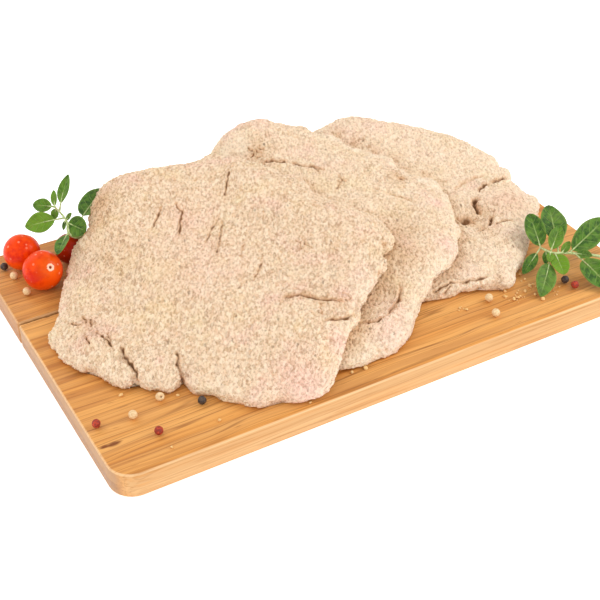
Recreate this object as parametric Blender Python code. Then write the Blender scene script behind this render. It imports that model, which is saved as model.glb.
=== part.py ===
"""Three raw breaded schnitzels fanned out on a two-plank wooden board, with its garnish.

The cuts of meat lie like roof tiles: the rear one on the board, the middle one over it and the front
one over both. Cherry tomatoes, two oregano sprigs and loose peppercorns lie beside them.
Units are metres. +X runs along the board, +Y to its back, +Z up; the origin is the centre of the
board's underside. Outlines and places that were easier to give in millimetres are multiplied by MM.
"""

import math
from dataclasses import dataclass, field

import bmesh
import bpy
import numpy as np
from mathutils import Matrix, Vector, geometry
from mathutils.bvhtree import BVHTree

MM = 0.001

# The board: two planks glued edge to edge, the front one twice as deep as the rear one
BOARD_LENGTH = 0.350
BOARD_DEPTH = 0.223
BOARD_THICKNESS = 0.016
FRONT_PLANK_SHARE = 2 / 3
BOARD_CORNER_RADIUS = 0.014
SEAM_WIDTH = 0.0008
SEAM_CORNER_RADIUS = 0.0015
BOARD_EDGE_BEVEL = 0.0012
CORNER_SEGMENTS = 7

# Laying the meat: a height grid over the board, relaxed as a limp slab over what lies below it
GRID_CELL = 0.0025
GRID_HALF_X = 0.200
GRID_HALF_Y = 0.140
RELAX_STEPS = 45
REST_GAP = 0.0003
LAYER_GAP = 0.0008

# Meshing the meat
OUTLINE_POINTS = 96
RIM_INSET = 0.0022
LATTICE_STEP = 0.0115
LATTICE_MARGIN = 0.006
TAPER = 0.016

TOMATO_SEGMENTS = 18
TOMATO_RINGS = 11
PEPPERCORN_RADIUS = 0.0026
LEAF_THICKNESS = 0.0006
LEAF_CUP = 0.18
LEAF_BEND = 0.05
LEAF_ROWS = 5
STALK_HALF_WIDTH = 0.00045
STEM_SIDES = 5
STEM_STEPS = 12


@dataclass
class Cut:
    """One schnitzel: its outline about a centre, its thickness and where it stands proud.

    corners are (degrees, millimetres from the centre), notches are (degrees, depth, half width) and
    hills are (x, y, radius, height), all in millimetres. Hills thicken the meat, lifts raise it.
    """

    name: str
    centre: tuple
    corners: list
    notches: list
    core: float
    edge: float
    hills: list = field(default_factory=list)
    lifts: list = field(default_factory=list)
    ripple: float = 0.0008
    ripple_phase: float = 0.0


REAR_CUT = Cut(
    name="schnitzel_rear",
    centre=(92, 22),
    corners=[
        (3, 84), (14, 86), (28, 88), (45, 95), (62, 96), (80, 99), (100, 100), (113, 106), (125, 120),
        (134, 132), (147, 127), (163, 112), (180, 104), (200, 99), (222, 99), (240, 100), (256, 94),
        (269, 101), (280, 93), (296, 83), (317, 79), (333, 84), (346, 78), (356, 77),
    ],
    notches=[(263.5, 4, 2.0), (249, 2, 1.6), (275, 3, 1.6), (9, 3, 3.0)],
    core=12.5,
    edge=7.5,
    hills=[(8, 118, 34, 9), (90, 114, 32, 9), (132, 100, 30, 5), (160, 60, 24, 3), (96, -20, 22, 1)],
    lifts=[(88, 118, 36, 6), (90, -72, 9, 1.5)],
    ripple_phase=0.9,
)

MIDDLE_CUT = Cut(
    name="schnitzel_middle",
    centre=(18, 10),
    corners=[
        (5, 92), (20, 88), (31, 93), (43, 93), (56, 99), (66, 105), (78, 107), (94, 115), (103, 113),
        (112, 113), (125, 128), (135, 138), (146, 139), (160, 134), (180, 124), (195, 116), (210, 110),
        (225, 110), (236, 113), (246, 115), (259, 109), (273, 93), (286, 78), (300, 81), (316, 83),
        (332, 82), (350, 85),
    ],
    notches=[(17, 3, 2.0), (25, 3, 1.6), (49, 3, 2.0), (63, 3, 2.5), (255, 2, 1.5), (265, 2, 1.5),
             (291, 4, 2.5), (306, 2, 1.6), (322, 2, 1.8)],
    core=12.5,
    edge=7.0,
    hills=[(28, 120, 30, 7), (-60, 97, 40, 6), (-112, 76, 32, 7), (60, 60, 24, 2)],
    lifts=[(36, 120, 24, 5), (4, 126, 24, 8), (-60, 100, 40, 4)],
    ripple_phase=2.1,
)

FRONT_CUT = Cut(
    name="schnitzel_front",
    centre=(-62, 6),
    corners=[
        (0, 97), (12, 89), (28, 95), (42, 96), (55, 99), (66, 109), (77, 113), (90, 108), (102, 109),
        (111, 99), (120, 90), (129, 85), (142, 91), (156, 93), (167, 95), (181, 105), (195, 102),
        (208, 97), (223, 95), (237, 94), (249, 102), (257, 108), (269, 115), (278, 112), (287, 103),
        (300, 96), (313, 94), (325, 101), (338, 108), (349, 104),
    ],
    notches=[(216, 6, 1.6), (232.5, 7, 1.6), (90, 2, 3.0), (261, 4, 1.8), (329.5, 5, 1.8), (203, 2, 1.5),
             (242, 2, 1.5), (34, 2, 2.0), (19, 2, 2.0)],
    core=12.5,
    edge=6.5,
    hills=[(-75, 112, 45, 2), (-120, 75, 25, 2)],
    lifts=[(-75, 114, 40, 3), (-128, 64, 24, 5)],
)

TOMATOES = {
    # name: (x, y, radius) in millimetres and the direction that the stem scar faces
    "tomato_front": ((-148.2, 64.4, 12.4), (0.05, -0.72, 0.69)),
    "tomato_left": ((-152.2, 90.8, 11.6), (0.45, 0.55, 0.70)),
    "tomato_rear": ((-124.0, 82.3, 10.0), (0.30, 0.20, 0.93)),
}

PEPPERCORNS = {
    # colour: places on the board, in millimetres
    "white": [(-149.0, -71.7), (-130.6, -65.6), (72.2, -95.0), (77.6, -81.0), (-161.7, 81.5), (-160.4, 62.0)],
    "red": [(-168.5, -68.7), (-142.2, -89.8), (131.0, -96.1)],
    "black": [(-112.1, -79.5), (129.1, -89.0), (-163.8, 93.8)],
}


@dataclass
class Leaf:
    """A leaf on a sprig, in millimetres over the board.

    at is the share of the stem where it starts, tip where it ends, face the way it looks. stalk is the
    share of its length that is bare.
    """

    at: float
    tip: tuple
    width: float
    face: tuple = (-0.4, -0.7, 0.6)
    stalk: float = 0.14


@dataclass
class Sprig:
    """A stem through a few points, in millimetres over the board, and its leaves."""

    name: str
    stem: list
    radius: float
    leaves: list


LEFT_SPRIG = Sprig(
    name="oregano_left",
    stem=[(-115, 81, 17), (-120.5, 77.5, 19.5), (-124.4, 79, 23), (-123, 86.6, 28), (-125.4, 99.2, 32)],
    radius=0.8,
    leaves=[
        Leaf(0.90, (-110.0, 112.5, 41.5), 5.5, (-0.7, -0.5, 0.5), stalk=0.25),
        Leaf(0.99, (-122.2, 106.6, 37.5), 3.6, (-0.5, -0.6, 0.5), stalk=0.06),
        Leaf(0.985, (-136.0, 109.0, 31), 8.8, (-0.4, -0.6, 0.7)),
        Leaf(0.97, (-127.6, 95.0, 25.5), 4.6, (-0.6, -0.6, 0.5), stalk=0.08),
        Leaf(0.79, (-146.0, 98.4, 25), 12.5, (-0.3, -0.6, 0.7), stalk=0.24),
        Leaf(0.74, (-119.3, 85.4, 33), 3.0, (-0.7, -0.5, 0.5), stalk=0.06),
        Leaf(0.76, (-126.4, 83.4, 23.5), 2.8, (-0.7, -0.6, 0.4), stalk=0.06),
        Leaf(0.71, (-114.6, 76.0, 23), 13.0, (-0.3, -0.7, 0.6), stalk=0.06),
        Leaf(0.43, (-90.5, 115.6, 22.5), 12.0, (-0.5, -0.6, 0.6), stalk=0.40),
        Leaf(0.53, (-139.6, 58.0, 25), 8.0, (-0.5, -0.5, 0.7)),
    ],
)

RIGHT_SPRIG = Sprig(
    name="oregano_right",
    stem=[(172, -87, 1.4), (159, -84, 7), (142, -77.2, 11), (130.5, -73.9, 13), (128, -65, 12.5)],
    radius=1.0,
    leaves=[
        Leaf(1.00, (134.1, -44.2, 24), 13.5, (-0.4, -0.6, 0.7), stalk=0.05),
        Leaf(0.66, (150.9, -42.2, 24), 16.5, (-0.3, -0.6, 0.7), stalk=0.22),
        Leaf(0.80, (146.5, -60.6, 22), 9.5, (-0.5, -0.7, 0.5), stalk=0.12),
        Leaf(0.50, (171.0, -64.0, 22), 13.0, (-0.3, -0.6, 0.8), stalk=0.16),
        Leaf(1.00, (109.7, -72.3, 3.5), 7.5, (-0.5, -0.6, 0.6), stalk=0.22),
        Leaf(0.88, (124.0, -76.0, 8), 4.5, (-0.6, -0.5, 0.6), stalk=0.05),
        Leaf(0.78, (105.7, -94.7, 2), 12.5, (-0.3, -0.7, 0.6), stalk=0.26),
        Leaf(0.72, (126.4, -90.5, 8.5), 9.5, (-0.3, -0.7, 0.6), stalk=0.06),
        Leaf(0.46, (150.6, -87.0, 12), 6.0, (-0.4, -0.5, 0.8), stalk=0.10),
        Leaf(0.46, (147.5, -110.0, 2.5), 17.0, (-0.2, -0.7, 0.7), stalk=0.20),
        Leaf(0.12, (172.0, -106.0, 3), 12.0, (0.1, -0.6, 0.8)),
    ],
)


# ---- scene and materials ---------------------------------------------------------------------------


def clear_scene():
    """Removes every object, so that only the board and its food remain."""
    for old in list(bpy.data.objects):
        bpy.data.objects.remove(old)


def make_material(name, colour, roughness, metallic=0.0):
    """A plain Principled material."""
    material = bpy.data.materials.new(name)
    material.use_nodes = True
    shader = material.node_tree.nodes["Principled BSDF"]
    shader.inputs["Base Color"].default_value = (*colour, 1.0)
    shader.inputs["Roughness"].default_value = roughness
    shader.inputs["Metallic"].default_value = metallic
    return material


def add_object(name, mesh, material, location=(0, 0, 0), parent=None):
    """Links a mesh as a named object."""
    made = bpy.data.objects.new(name, mesh)
    if not mesh.materials:
        mesh.materials.append(material)
    made.location = location
    made.parent = parent
    bpy.context.scene.collection.objects.link(made)
    return made


def mesh_from(bm, name, smooth_angle=None):
    """Turns a bmesh into a mesh with its faces pointing out, shaded smooth below an angle."""
    bmesh.ops.recalc_face_normals(bm, faces=bm.faces)
    mesh = bpy.data.meshes.new(name)
    bm.to_mesh(mesh)
    bm.free()
    if smooth_angle is not None:
        mesh.shade_smooth()
        mesh.set_sharp_from_angle(angle=smooth_angle)
    return mesh


# ---- the board -------------------------------------------------------------------------------------


def rounded_rectangle(width, depth, front_radius, back_radius):
    """Corner points of a rectangle centred on the origin, its front and back corners rounded."""
    points = []
    for turn, side_x, side_y, radius in (
        (180, -1, -1, front_radius),
        (270, 1, -1, front_radius),
        (0, 1, 1, back_radius),
        (90, -1, 1, back_radius),
    ):
        centre = Vector((side_x * (width / 2 - radius), side_y * (depth / 2 - radius)))
        for step in range(CORNER_SEGMENTS + 1):
            angle = math.radians(turn + 90 * step / CORNER_SEGMENTS)
            points.append(centre + radius * Vector((math.cos(angle), math.sin(angle))))
    return points


def build_plank(name, depth, centre_y, front_radius, back_radius, material, parent):
    """A plank with rounded corners and softened top and bottom edges."""
    bm = bmesh.new()
    outline = rounded_rectangle(BOARD_LENGTH, depth, front_radius, back_radius)
    floor = bm.faces.new([bm.verts.new((p.x, p.y, 0)) for p in outline])
    raised = bmesh.ops.extrude_face_region(bm, geom=[floor])["geom"]
    top = [item for item in raised if isinstance(item, bmesh.types.BMVert)]
    bmesh.ops.translate(bm, vec=(0, 0, BOARD_THICKNESS), verts=top)
    plank = add_object(name, mesh_from(bm, name, math.radians(40)), material, (0, centre_y, 0), parent)
    bevel = plank.modifiers.new("soft_edges", "BEVEL")
    bevel.width = BOARD_EDGE_BEVEL
    bevel.segments = 2
    bevel.limit_method = "ANGLE"
    bevel.angle_limit = math.radians(60)
    return plank


def build_board(parent):
    """The two planks, a seam apart."""
    wood = make_material("bamboo_wood", (0.72, 0.42, 0.16), 0.45)
    front_depth = BOARD_DEPTH * FRONT_PLANK_SHARE - SEAM_WIDTH / 2
    rear_depth = BOARD_DEPTH * (1 - FRONT_PLANK_SHARE) - SEAM_WIDTH / 2
    build_plank("board_front_plank", front_depth, -BOARD_DEPTH / 2 + front_depth / 2,
                BOARD_CORNER_RADIUS, SEAM_CORNER_RADIUS, wood, parent)
    build_plank("board_rear_plank", rear_depth, BOARD_DEPTH / 2 - rear_depth / 2,
                SEAM_CORNER_RADIUS, BOARD_CORNER_RADIUS, wood, parent)


# ---- the meat --------------------------------------------------------------------------------------


def periodic_cubic(corners, degrees):
    """Radius at any angle from a smooth closed curve through the outline's corners (Catmull-Rom)."""
    knots = np.array([c[0] for c in corners], float)
    values = np.array([c[1] for c in corners], float)
    count = len(knots)
    wrapped = (np.asarray(degrees, float) - knots[0]) % 360 + knots[0]
    span = np.clip(np.searchsorted(np.append(knots, knots[0] + 360), wrapped, side="right") - 1, 0, count - 1)

    def at(offset):
        index = span + offset
        return knots[index % count] + 360 * (index // count), values[index % count]

    (k0, v0), (k1, v1), (k2, v2), (k3, v3) = (at(offset) for offset in (-1, 0, 1, 2))
    width = k2 - k1
    share = (wrapped - k1) / width
    slope_in = (v2 - v0) / (k2 - k0) * width
    slope_out = (v3 - v1) / (k3 - k1) * width
    square, cube = share**2, share**3
    return ((2 * cube - 3 * square + 1) * v1 + (cube - 2 * square + share) * slope_in
            + (3 * square - 2 * cube) * v2 + (cube - square) * slope_out)


def outline_radius(cut, angle):
    """The outline's distance from the cut's centre at an angle in radians, with ripples and notches."""
    degrees = np.degrees(angle) % 360
    radius = periodic_cubic(cut.corners, degrees) * MM
    for waves, weight in ((17, 1.0), (29, 0.7), (41, 0.5)):
        radius = radius + cut.ripple * weight * np.sin(waves * angle + cut.ripple_phase * waves)
    for at, depth, half_width in cut.notches:
        away = (degrees - at + 180) % 360 - 180
        radius = radius - depth * MM * np.exp(-((away / half_width) ** 2))
    return radius


def bumps(x, y, rows):
    """The sum of round hills, each given as (x, y, radius, height) in millimetres."""
    total = np.zeros_like(np.asarray(x, float))
    for hill_x, hill_y, radius, height in rows:
        away = (x - hill_x * MM) ** 2 + (y - hill_y * MM) ** 2
        total = total + height * MM * np.exp(-away / (radius * MM) ** 2)
    return total


def inset_from_edge(cut, x, y):
    """How far inside the cut's outline a point is, measured along the ray from its centre."""
    dx, dy = x - cut.centre[0] * MM, y - cut.centre[1] * MM
    return outline_radius(cut, np.arctan2(dy, dx)) - np.hypot(dx, dy)


def meat_thickness(cut, x, y):
    """Thickness of the breaded meat: thin at the rim, full a taper's width further in."""
    share = np.clip(inset_from_edge(cut, x, y) / TAPER, 0, 1)
    rise = share * share * (3 - 2 * share)
    uneven = 0.6 * MM * np.sin(x * 95 + cut.ripple_phase) * np.cos(y * 80 + 2 * cut.ripple_phase)
    return cut.edge * MM + rise * ((cut.core - cut.edge) * MM + uneven) + bumps(x, y, cut.hills)


class HeightGrid:
    """Heights over and around the board on a square grid, raised by each piece of meat laid on it."""

    def __init__(self):
        self.xs = np.arange(-GRID_HALF_X, GRID_HALF_X + GRID_CELL / 2, GRID_CELL)
        self.ys = np.arange(-GRID_HALF_Y, GRID_HALF_Y + GRID_CELL / 2, GRID_CELL)
        self.x, self.y = np.meshgrid(self.xs, self.ys)
        self.top = np.full(self.x.shape, BOARD_THICKNESS)

    def sample(self, heights, x, y):
        """Bilinear height at a point."""
        across = np.clip((x + GRID_HALF_X) / GRID_CELL, 0, len(self.xs) - 1.001)
        along = np.clip((y + GRID_HALF_Y) / GRID_CELL, 0, len(self.ys) - 1.001)
        i, j = int(across), int(along)
        u, v = across - i, along - j
        near = heights[j, i] * (1 - u) + heights[j, i + 1] * u
        far = heights[j + 1, i] * (1 - u) + heights[j + 1, i + 1] * u
        return near * (1 - v) + far * v

    def lay(self, cut):
        """Relaxes the cut's underside over what lies there, and returns it."""
        floor = spread(self.top) + LAYER_GAP + bumps(self.x, self.y, cut.lifts)
        under = floor.copy()
        for _ in range(RELAX_STEPS):
            under = np.maximum(floor, soften(under))
        inside = inset_from_edge(cut, self.x, self.y) > 0
        self.top = np.where(inside, under + meat_thickness(cut, self.x, self.y), self.top)
        return under


def neighbours(heights):
    """The grid shifted to each of its eight neighbours and itself, edges repeated."""
    padded = np.pad(heights, 1, mode="edge")
    rows, columns = heights.shape
    return [padded[j:j + rows, i:i + columns] for j in range(3) for i in range(3)]


def spread(heights):
    """Each cell takes the highest of itself and its neighbours."""
    return np.max(neighbours(heights), axis=0)


def soften(heights):
    """Each cell takes the mean of itself and its neighbours."""
    return np.mean(neighbours(heights), axis=0)


def ring_points(cut, inset):
    """Points round the outline, moved towards the centre by an inset."""
    points = []
    for step in range(OUTLINE_POINTS):
        angle = 2 * math.pi * step / OUTLINE_POINTS
        reach = float(outline_radius(cut, np.array(angle))) - inset
        points.append(Vector((cut.centre[0] * MM + reach * math.cos(angle),
                              cut.centre[1] * MM + reach * math.sin(angle))))
    return points


def lattice_points(cut):
    """A triangular lattice over the inside of the outline."""
    points = []
    row_step = LATTICE_STEP * math.sqrt(3) / 2
    for row in range(math.ceil(2 * GRID_HALF_Y / row_step)):
        for column in range(math.ceil(2 * GRID_HALF_X / LATTICE_STEP)):
            x = -GRID_HALF_X + (column + 0.5 * (row % 2)) * LATTICE_STEP
            y = -GRID_HALF_Y + row * row_step
            if inset_from_edge(cut, x, y) > RIM_INSET + LATTICE_MARGIN:
                points.append(Vector((x, y)))
    return points


def schnitzel_bmesh(cut, grid, under):
    """A closed slab: the same triangles above and below, joined by a rounded rim."""
    rim = ring_points(cut, RIM_INSET)
    flat, _, faces, *_ = geometry.delaunay_2d_cdt(
        rim + lattice_points(cut), [], [list(range(len(rim)))], 1, 1e-7)
    bm = bmesh.new()
    below = [bm.verts.new((p.x, p.y, grid.sample(under, p.x, p.y))) for p in flat]
    above = [bm.verts.new((p.x, p.y, low.co.z + float(meat_thickness(cut, p.x, p.y))))
             for p, low in zip(flat, below)]
    for face in faces:
        bm.faces.new([above[i] for i in face])
        bm.faces.new([below[i] for i in reversed(face)])
    edge = [bm.verts.new((p.x, p.y, grid.sample(under, p.x, p.y) + cut.edge * MM * 0.5))
            for p in ring_points(cut, 0)]
    for i in range(OUTLINE_POINTS):
        j = (i + 1) % OUTLINE_POINTS
        bm.faces.new([edge[i], edge[j], above[j], above[i]])
        bm.faces.new([below[i], below[j], edge[j], edge[i]])
    return bm


def clearance(upper, lowers):
    """The least height between an upper mesh and those below it, both ways."""
    down, up = Vector((0, 0, -1)), Vector((0, 0, 1))
    tree = BVHTree.FromBMesh(upper)
    least = math.inf
    for lower in lowers:
        lower_tree = BVHTree.FromBMesh(lower)
        for vert in upper.verts:
            hit = lower_tree.ray_cast(vert.co + down * 1e-6, down)
            if hit[0] is not None:
                least = min(least, hit[3])
        for vert in lower.verts:
            hit = tree.ray_cast(vert.co + up * 1e-6, up)
            if hit[0] is not None:
                least = min(least, hit[3])
    return least


def build_meat(parent):
    """Lays the three schnitzels one on another and settles each to a resting gap."""
    breading = make_material("breadcrumbs", (0.84, 0.66, 0.46), 0.9)
    grid = HeightGrid()
    laid = []
    for cut in (REAR_CUT, MIDDLE_CUT, FRONT_CUT):
        bm = schnitzel_bmesh(cut, grid, grid.lay(cut))
        to_board = min(vert.co.z for vert in bm.verts) - BOARD_THICKNESS
        drop = min(clearance(bm, laid), to_board) - REST_GAP
        bmesh.ops.translate(bm, vec=(0, 0, -drop), verts=bm.verts)
        laid.append(bm.copy())
        add_object(cut.name, mesh_from(bm, cut.name, math.radians(60)), breading, parent=parent)
    for bm in laid:
        bm.free()


# ---- tomatoes and peppercorns ----------------------------------------------------------------------


def tomato_mesh(name, radius):
    """A cherry tomato standing on +Z: a slightly flattened ball with a dimple at its stem end."""
    bm = bmesh.new()
    bmesh.ops.create_uvsphere(bm, u_segments=TOMATO_SEGMENTS, v_segments=TOMATO_RINGS, radius=radius)
    for vert in bm.verts:
        from_stem = vert.co.angle(Vector((0, 0, 1)))
        dimple = 0.07 * math.exp(-((from_stem / 0.28) ** 2))
        lobes = 0.008 * math.cos(5 * math.atan2(vert.co.y, vert.co.x)) * math.sin(from_stem)
        vert.co *= 1 - dimple + lobes
        vert.co.z *= 0.97
    return mesh_from(bm, name, math.radians(60))


def build_tomatoes(parent):
    """Each tomato rests on the board, its stem scar turned its own way."""
    skin = make_material("tomato_skin", (0.80, 0.06, 0.01), 0.18)
    for name, ((x, y, radius), scar) in TOMATOES.items():
        turn = Vector((0, 0, 1)).rotation_difference(Vector(scar))
        mesh = tomato_mesh(name, radius * MM)
        mesh.transform(turn.to_matrix().to_4x4())
        lowest = min(vert.co.z for vert in mesh.vertices)
        add_object(name, mesh, skin, (x * MM, y * MM, BOARD_THICKNESS + REST_GAP - lowest), parent)


def build_peppercorns(parent):
    """Loose peppercorns of three colours, one node each."""
    colours = {"white": (0.80, 0.62, 0.38), "red": (0.42, 0.04, 0.02), "black": (0.05, 0.03, 0.03)}
    for colour, places in PEPPERCORNS.items():
        bm = bmesh.new()
        bmesh.ops.create_icosphere(bm, subdivisions=2, radius=PEPPERCORN_RADIUS)
        mesh = mesh_from(bm, "peppercorn_" + colour, math.radians(60))
        material = make_material("pepper_" + colour, colours[colour], 0.6)
        height = BOARD_THICKNESS + REST_GAP + PEPPERCORN_RADIUS
        for number, (x, y) in enumerate(places, 1):
            add_object(f"peppercorn_{colour}_{number}", mesh, material, (x * MM, y * MM, height), parent)


# ---- oregano ---------------------------------------------------------------------------------------


def stem_point(sprig, share):
    """A point on the stem's smooth curve, in metres over the table."""
    points = [Vector(p) * MM + Vector((0, 0, BOARD_THICKNESS)) for p in sprig.stem]
    along = share * (len(points) - 1)
    first = min(int(along), len(points) - 2)
    part = along - first
    before = points[max(first - 1, 0)]
    start, end = points[first], points[first + 1]
    after = points[min(first + 2, len(points) - 1)]
    leave, arrive = (end - before) / 2, (after - start) / 2
    return (start * (2 * part**3 - 3 * part**2 + 1) + leave * (part**3 - 2 * part**2 + part)
            + end * (3 * part**2 - 2 * part**3) + arrive * (part**3 - part**2))


def stem_bmesh(sprig):
    """The stem as a tube that thins towards its top."""
    bm = bmesh.new()
    rings = []
    side = Vector((0, 0, 1))
    for step in range(STEM_STEPS + 1):
        share = step / STEM_STEPS
        here = stem_point(sprig, share)
        ahead = stem_point(sprig, min(share + 0.03, 1)) - stem_point(sprig, max(share - 0.03, 0))
        side = (side - side.project(ahead)).normalized()
        over = ahead.normalized().cross(side)
        radius = sprig.radius * MM * (1 - 0.35 * share)
        rings.append([bm.verts.new(here + radius * (side * math.cos(a) + over * math.sin(a)))
                      for a in (2 * math.pi * k / STEM_SIDES for k in range(STEM_SIDES))])
    for low, high in zip(rings, rings[1:]):
        for k in range(STEM_SIDES):
            after = (k + 1) % STEM_SIDES
            bm.faces.new([low[k], low[after], high[after], high[k]])
    bm.faces.new(rings[0])
    bm.faces.new(rings[-1])
    return bm


def leaf_rows(leaf):
    """Where each row of a leaf lies along it, and its half width: the bare stalk, then the blade."""
    yield 0.0, STALK_HALF_WIDTH
    for row in range(LEAF_ROWS + 1):
        blade = row / LEAF_ROWS
        swell = leaf.width * MM / 2 * max(0.0, math.sin(math.pi * blade**0.85)) ** 0.8
        yield leaf.stalk + (1 - leaf.stalk) * blade, max(swell, STALK_HALF_WIDTH * (1 - 0.5 * blade))


def leaf_bmesh(sprig, leaf):
    """A closed leaf: a narrow stalk that opens into a pointed oval, cupped along its midrib."""
    base = stem_point(sprig, leaf.at)
    along = Vector(leaf.tip) * MM + Vector((0, 0, BOARD_THICKNESS)) - base
    face = Vector(leaf.face)
    normal = (face - face.project(along)).normalized()
    side = normal.cross(along).normalized()
    half_thick = normal * LEAF_THICKNESS / 2
    bm = bmesh.new()
    rows = []
    for share, half in leaf_rows(leaf):
        middle = base + along * share + normal * (LEAF_BEND * along.length * math.sin(math.pi * share))
        rise = normal * LEAF_CUP * half
        across = [middle - side * half + rise, middle, middle + side * half + rise]
        rows.append(([bm.verts.new(p + half_thick) for p in across],
                     [bm.verts.new(p - half_thick) for p in across]))
    for (top, low), (next_top, next_low) in zip(rows, rows[1:]):
        for k in (0, 1):
            bm.faces.new([top[k], top[k + 1], next_top[k + 1], next_top[k]])
            bm.faces.new([low[k + 1], low[k], next_low[k], next_low[k + 1]])
        bm.faces.new([top[0], next_top[0], next_low[0], low[0]])
        bm.faces.new([top[2], low[2], next_low[2], next_top[2]])
    for top, low in (rows[0], rows[-1]):
        bm.faces.new([top[0], top[1], top[2], low[2], low[1], low[0]])
    return bm


def build_sprig(sprig, material, parent):
    """Stem and leaves joined into one piece."""
    stem = add_object(sprig.name, mesh_from(stem_bmesh(sprig), sprig.name, math.radians(50)), material,
                      parent=parent)
    helpers = bpy.data.collections.new(sprig.name + "_leaves")
    bpy.context.scene.collection.children.link(helpers)
    for number, leaf in enumerate(sprig.leaves, 1):
        name = f"{sprig.name}_leaf_{number}"
        blade = bpy.data.objects.new(name, mesh_from(leaf_bmesh(sprig, leaf), name, math.radians(50)))
        blade.hide_render = True
        blade.display_type = "WIRE"
        helpers.objects.link(blade)
    join = stem.modifiers.new("join_leaves", "BOOLEAN")
    join.operation = "UNION"
    join.operand_type = "COLLECTION"
    join.collection = helpers
    return stem


def main():
    """Builds the board and everything on it."""
    clear_scene()
    stand = bpy.data.objects.new("board_centre", None)
    bpy.context.scene.collection.objects.link(stand)
    build_board(stand)
    build_meat(stand)
    build_tomatoes(stand)
    build_peppercorns(stand)
    green = make_material("oregano_green", (0.10, 0.26, 0.04), 0.55)
    for sprig in (LEFT_SPRIG, RIGHT_SPRIG):
        build_sprig(sprig, green, stand)


main()
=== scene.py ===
"""Raw breaded schnitzels on a wooden board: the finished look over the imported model.

Every piece is built over a solid of the model, in metres, in the model's own frame: +X runs along the
board, +Y to its back and +Z up. Places on the board that were easier to give in millimetres carry
"mm" in their notes and are multiplied by MM.
"""

from __future__ import annotations

import logging
import math
import random
from collections.abc import Iterable, Sequence
from dataclasses import dataclass, field
from enum import Enum
from typing import Any, Union

import bmesh
import bpy
import numpy as np
from mathutils import Matrix, Vector, noise
from mathutils.bvhtree import BVHTree
from mathutils.kdtree import KDTree


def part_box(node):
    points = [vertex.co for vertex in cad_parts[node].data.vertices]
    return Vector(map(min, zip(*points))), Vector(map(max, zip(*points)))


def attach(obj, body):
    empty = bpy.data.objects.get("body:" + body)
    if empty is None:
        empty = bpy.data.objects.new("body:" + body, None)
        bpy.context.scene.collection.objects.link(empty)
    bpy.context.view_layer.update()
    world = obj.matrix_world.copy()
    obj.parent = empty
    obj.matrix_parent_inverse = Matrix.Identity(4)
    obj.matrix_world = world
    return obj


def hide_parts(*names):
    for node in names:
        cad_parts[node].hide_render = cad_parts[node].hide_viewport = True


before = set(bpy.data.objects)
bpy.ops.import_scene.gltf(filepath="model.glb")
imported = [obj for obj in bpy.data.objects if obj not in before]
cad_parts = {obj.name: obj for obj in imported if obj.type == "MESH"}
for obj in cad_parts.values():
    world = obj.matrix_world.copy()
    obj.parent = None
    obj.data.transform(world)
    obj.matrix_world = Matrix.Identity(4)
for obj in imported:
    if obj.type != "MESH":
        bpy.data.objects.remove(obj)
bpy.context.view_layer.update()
BOARD_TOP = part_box("board_front_plank")[1].z
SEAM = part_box("board_front_plank")[1].y

LOG = logging.getLogger("schnitzels")
MM = 0.001
BODY = "root"

Point = tuple[float, float]
Place = tuple[float, float, float]
Colour = tuple[float, float, float, float]
Number = Union[float, "Value"]


def tone(red: int, green: int, blue: int) -> Colour:
    """Turns a colour as a screen shows it into the linear colour that a shader takes.

    Args:
        red: Its red, from 0 to 255.
        green: Its green, from 0 to 255.
        blue: Its blue, from 0 to 255.

    Returns:
        The linear colour, opaque.
    """
    linear = []
    for part in (red, green, blue):
        share = part / 255
        linear.append(share / 12.92 if share <= 0.04045 else ((share + 0.055) / 1.055) ** 2.4)
    return (linear[0], linear[1], linear[2], 1.0)


# ---------------------------------------------------------------- node graphs


@dataclass(frozen=True)
class Value:
    """A socket of numbers that takes part in Python arithmetic; each operation adds a Math node."""

    graph: "Graph"
    socket: bpy.types.NodeSocket

    def calc(self, operation: str, *terms: Number) -> "Value":
        """Returns a Math node's result for an operation on some terms."""
        return self.graph.value("ShaderNodeMath", {"operation": operation}, dict(enumerate(terms)))

    def __add__(self, other: Number) -> "Value":
        """Returns the sum."""
        return self.calc("ADD", self, other)

    def __radd__(self, other: Number) -> "Value":
        """Returns the sum, with the plain number first."""
        return self.calc("ADD", other, self)

    def __sub__(self, other: Number) -> "Value":
        """Returns the difference."""
        return self.calc("SUBTRACT", self, other)

    def __rsub__(self, other: Number) -> "Value":
        """Returns the difference, with the plain number first."""
        return self.calc("SUBTRACT", other, self)

    def __mul__(self, other: Number) -> "Value":
        """Returns the product."""
        return self.calc("MULTIPLY", self, other)

    def __rmul__(self, other: Number) -> "Value":
        """Returns the product, with the plain number first."""
        return self.calc("MULTIPLY", other, self)

    def __truediv__(self, other: Number) -> "Value":
        """Returns the quotient."""
        return self.calc("DIVIDE", self, other)

    def __rtruediv__(self, other: Number) -> "Value":
        """Returns the quotient, with the plain number first."""
        return self.calc("DIVIDE", other, self)

    def floor(self) -> "Value":
        """Returns the whole number below the value."""
        return self.calc("FLOOR", self)

    def fraction(self) -> "Value":
        """Returns what is left above the whole number below the value."""
        return self.calc("FRACT", self)

    def magnitude(self) -> "Value":
        """Returns the value without its sign."""
        return self.calc("ABSOLUTE", self)

    def mapped(self, low: float, high: float, to_low: float = 0.0, to_high: float = 1.0) -> "Value":
        """Eases the value from one range to another.

        Args:
            low: The value that gives to_low.
            high: The value that gives to_high.
            to_low: The result at low and below.
            to_high: The result at high and above.

        Returns:
            The eased value.
        """
        numbers = {"From Min": low, "From Max": high, "To Min": to_low, "To Max": to_high}
        return self.graph.value(
            "ShaderNodeMapRange", {"interpolation_type": "SMOOTHSTEP"}, {"Value": self, **numbers}
        )


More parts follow.
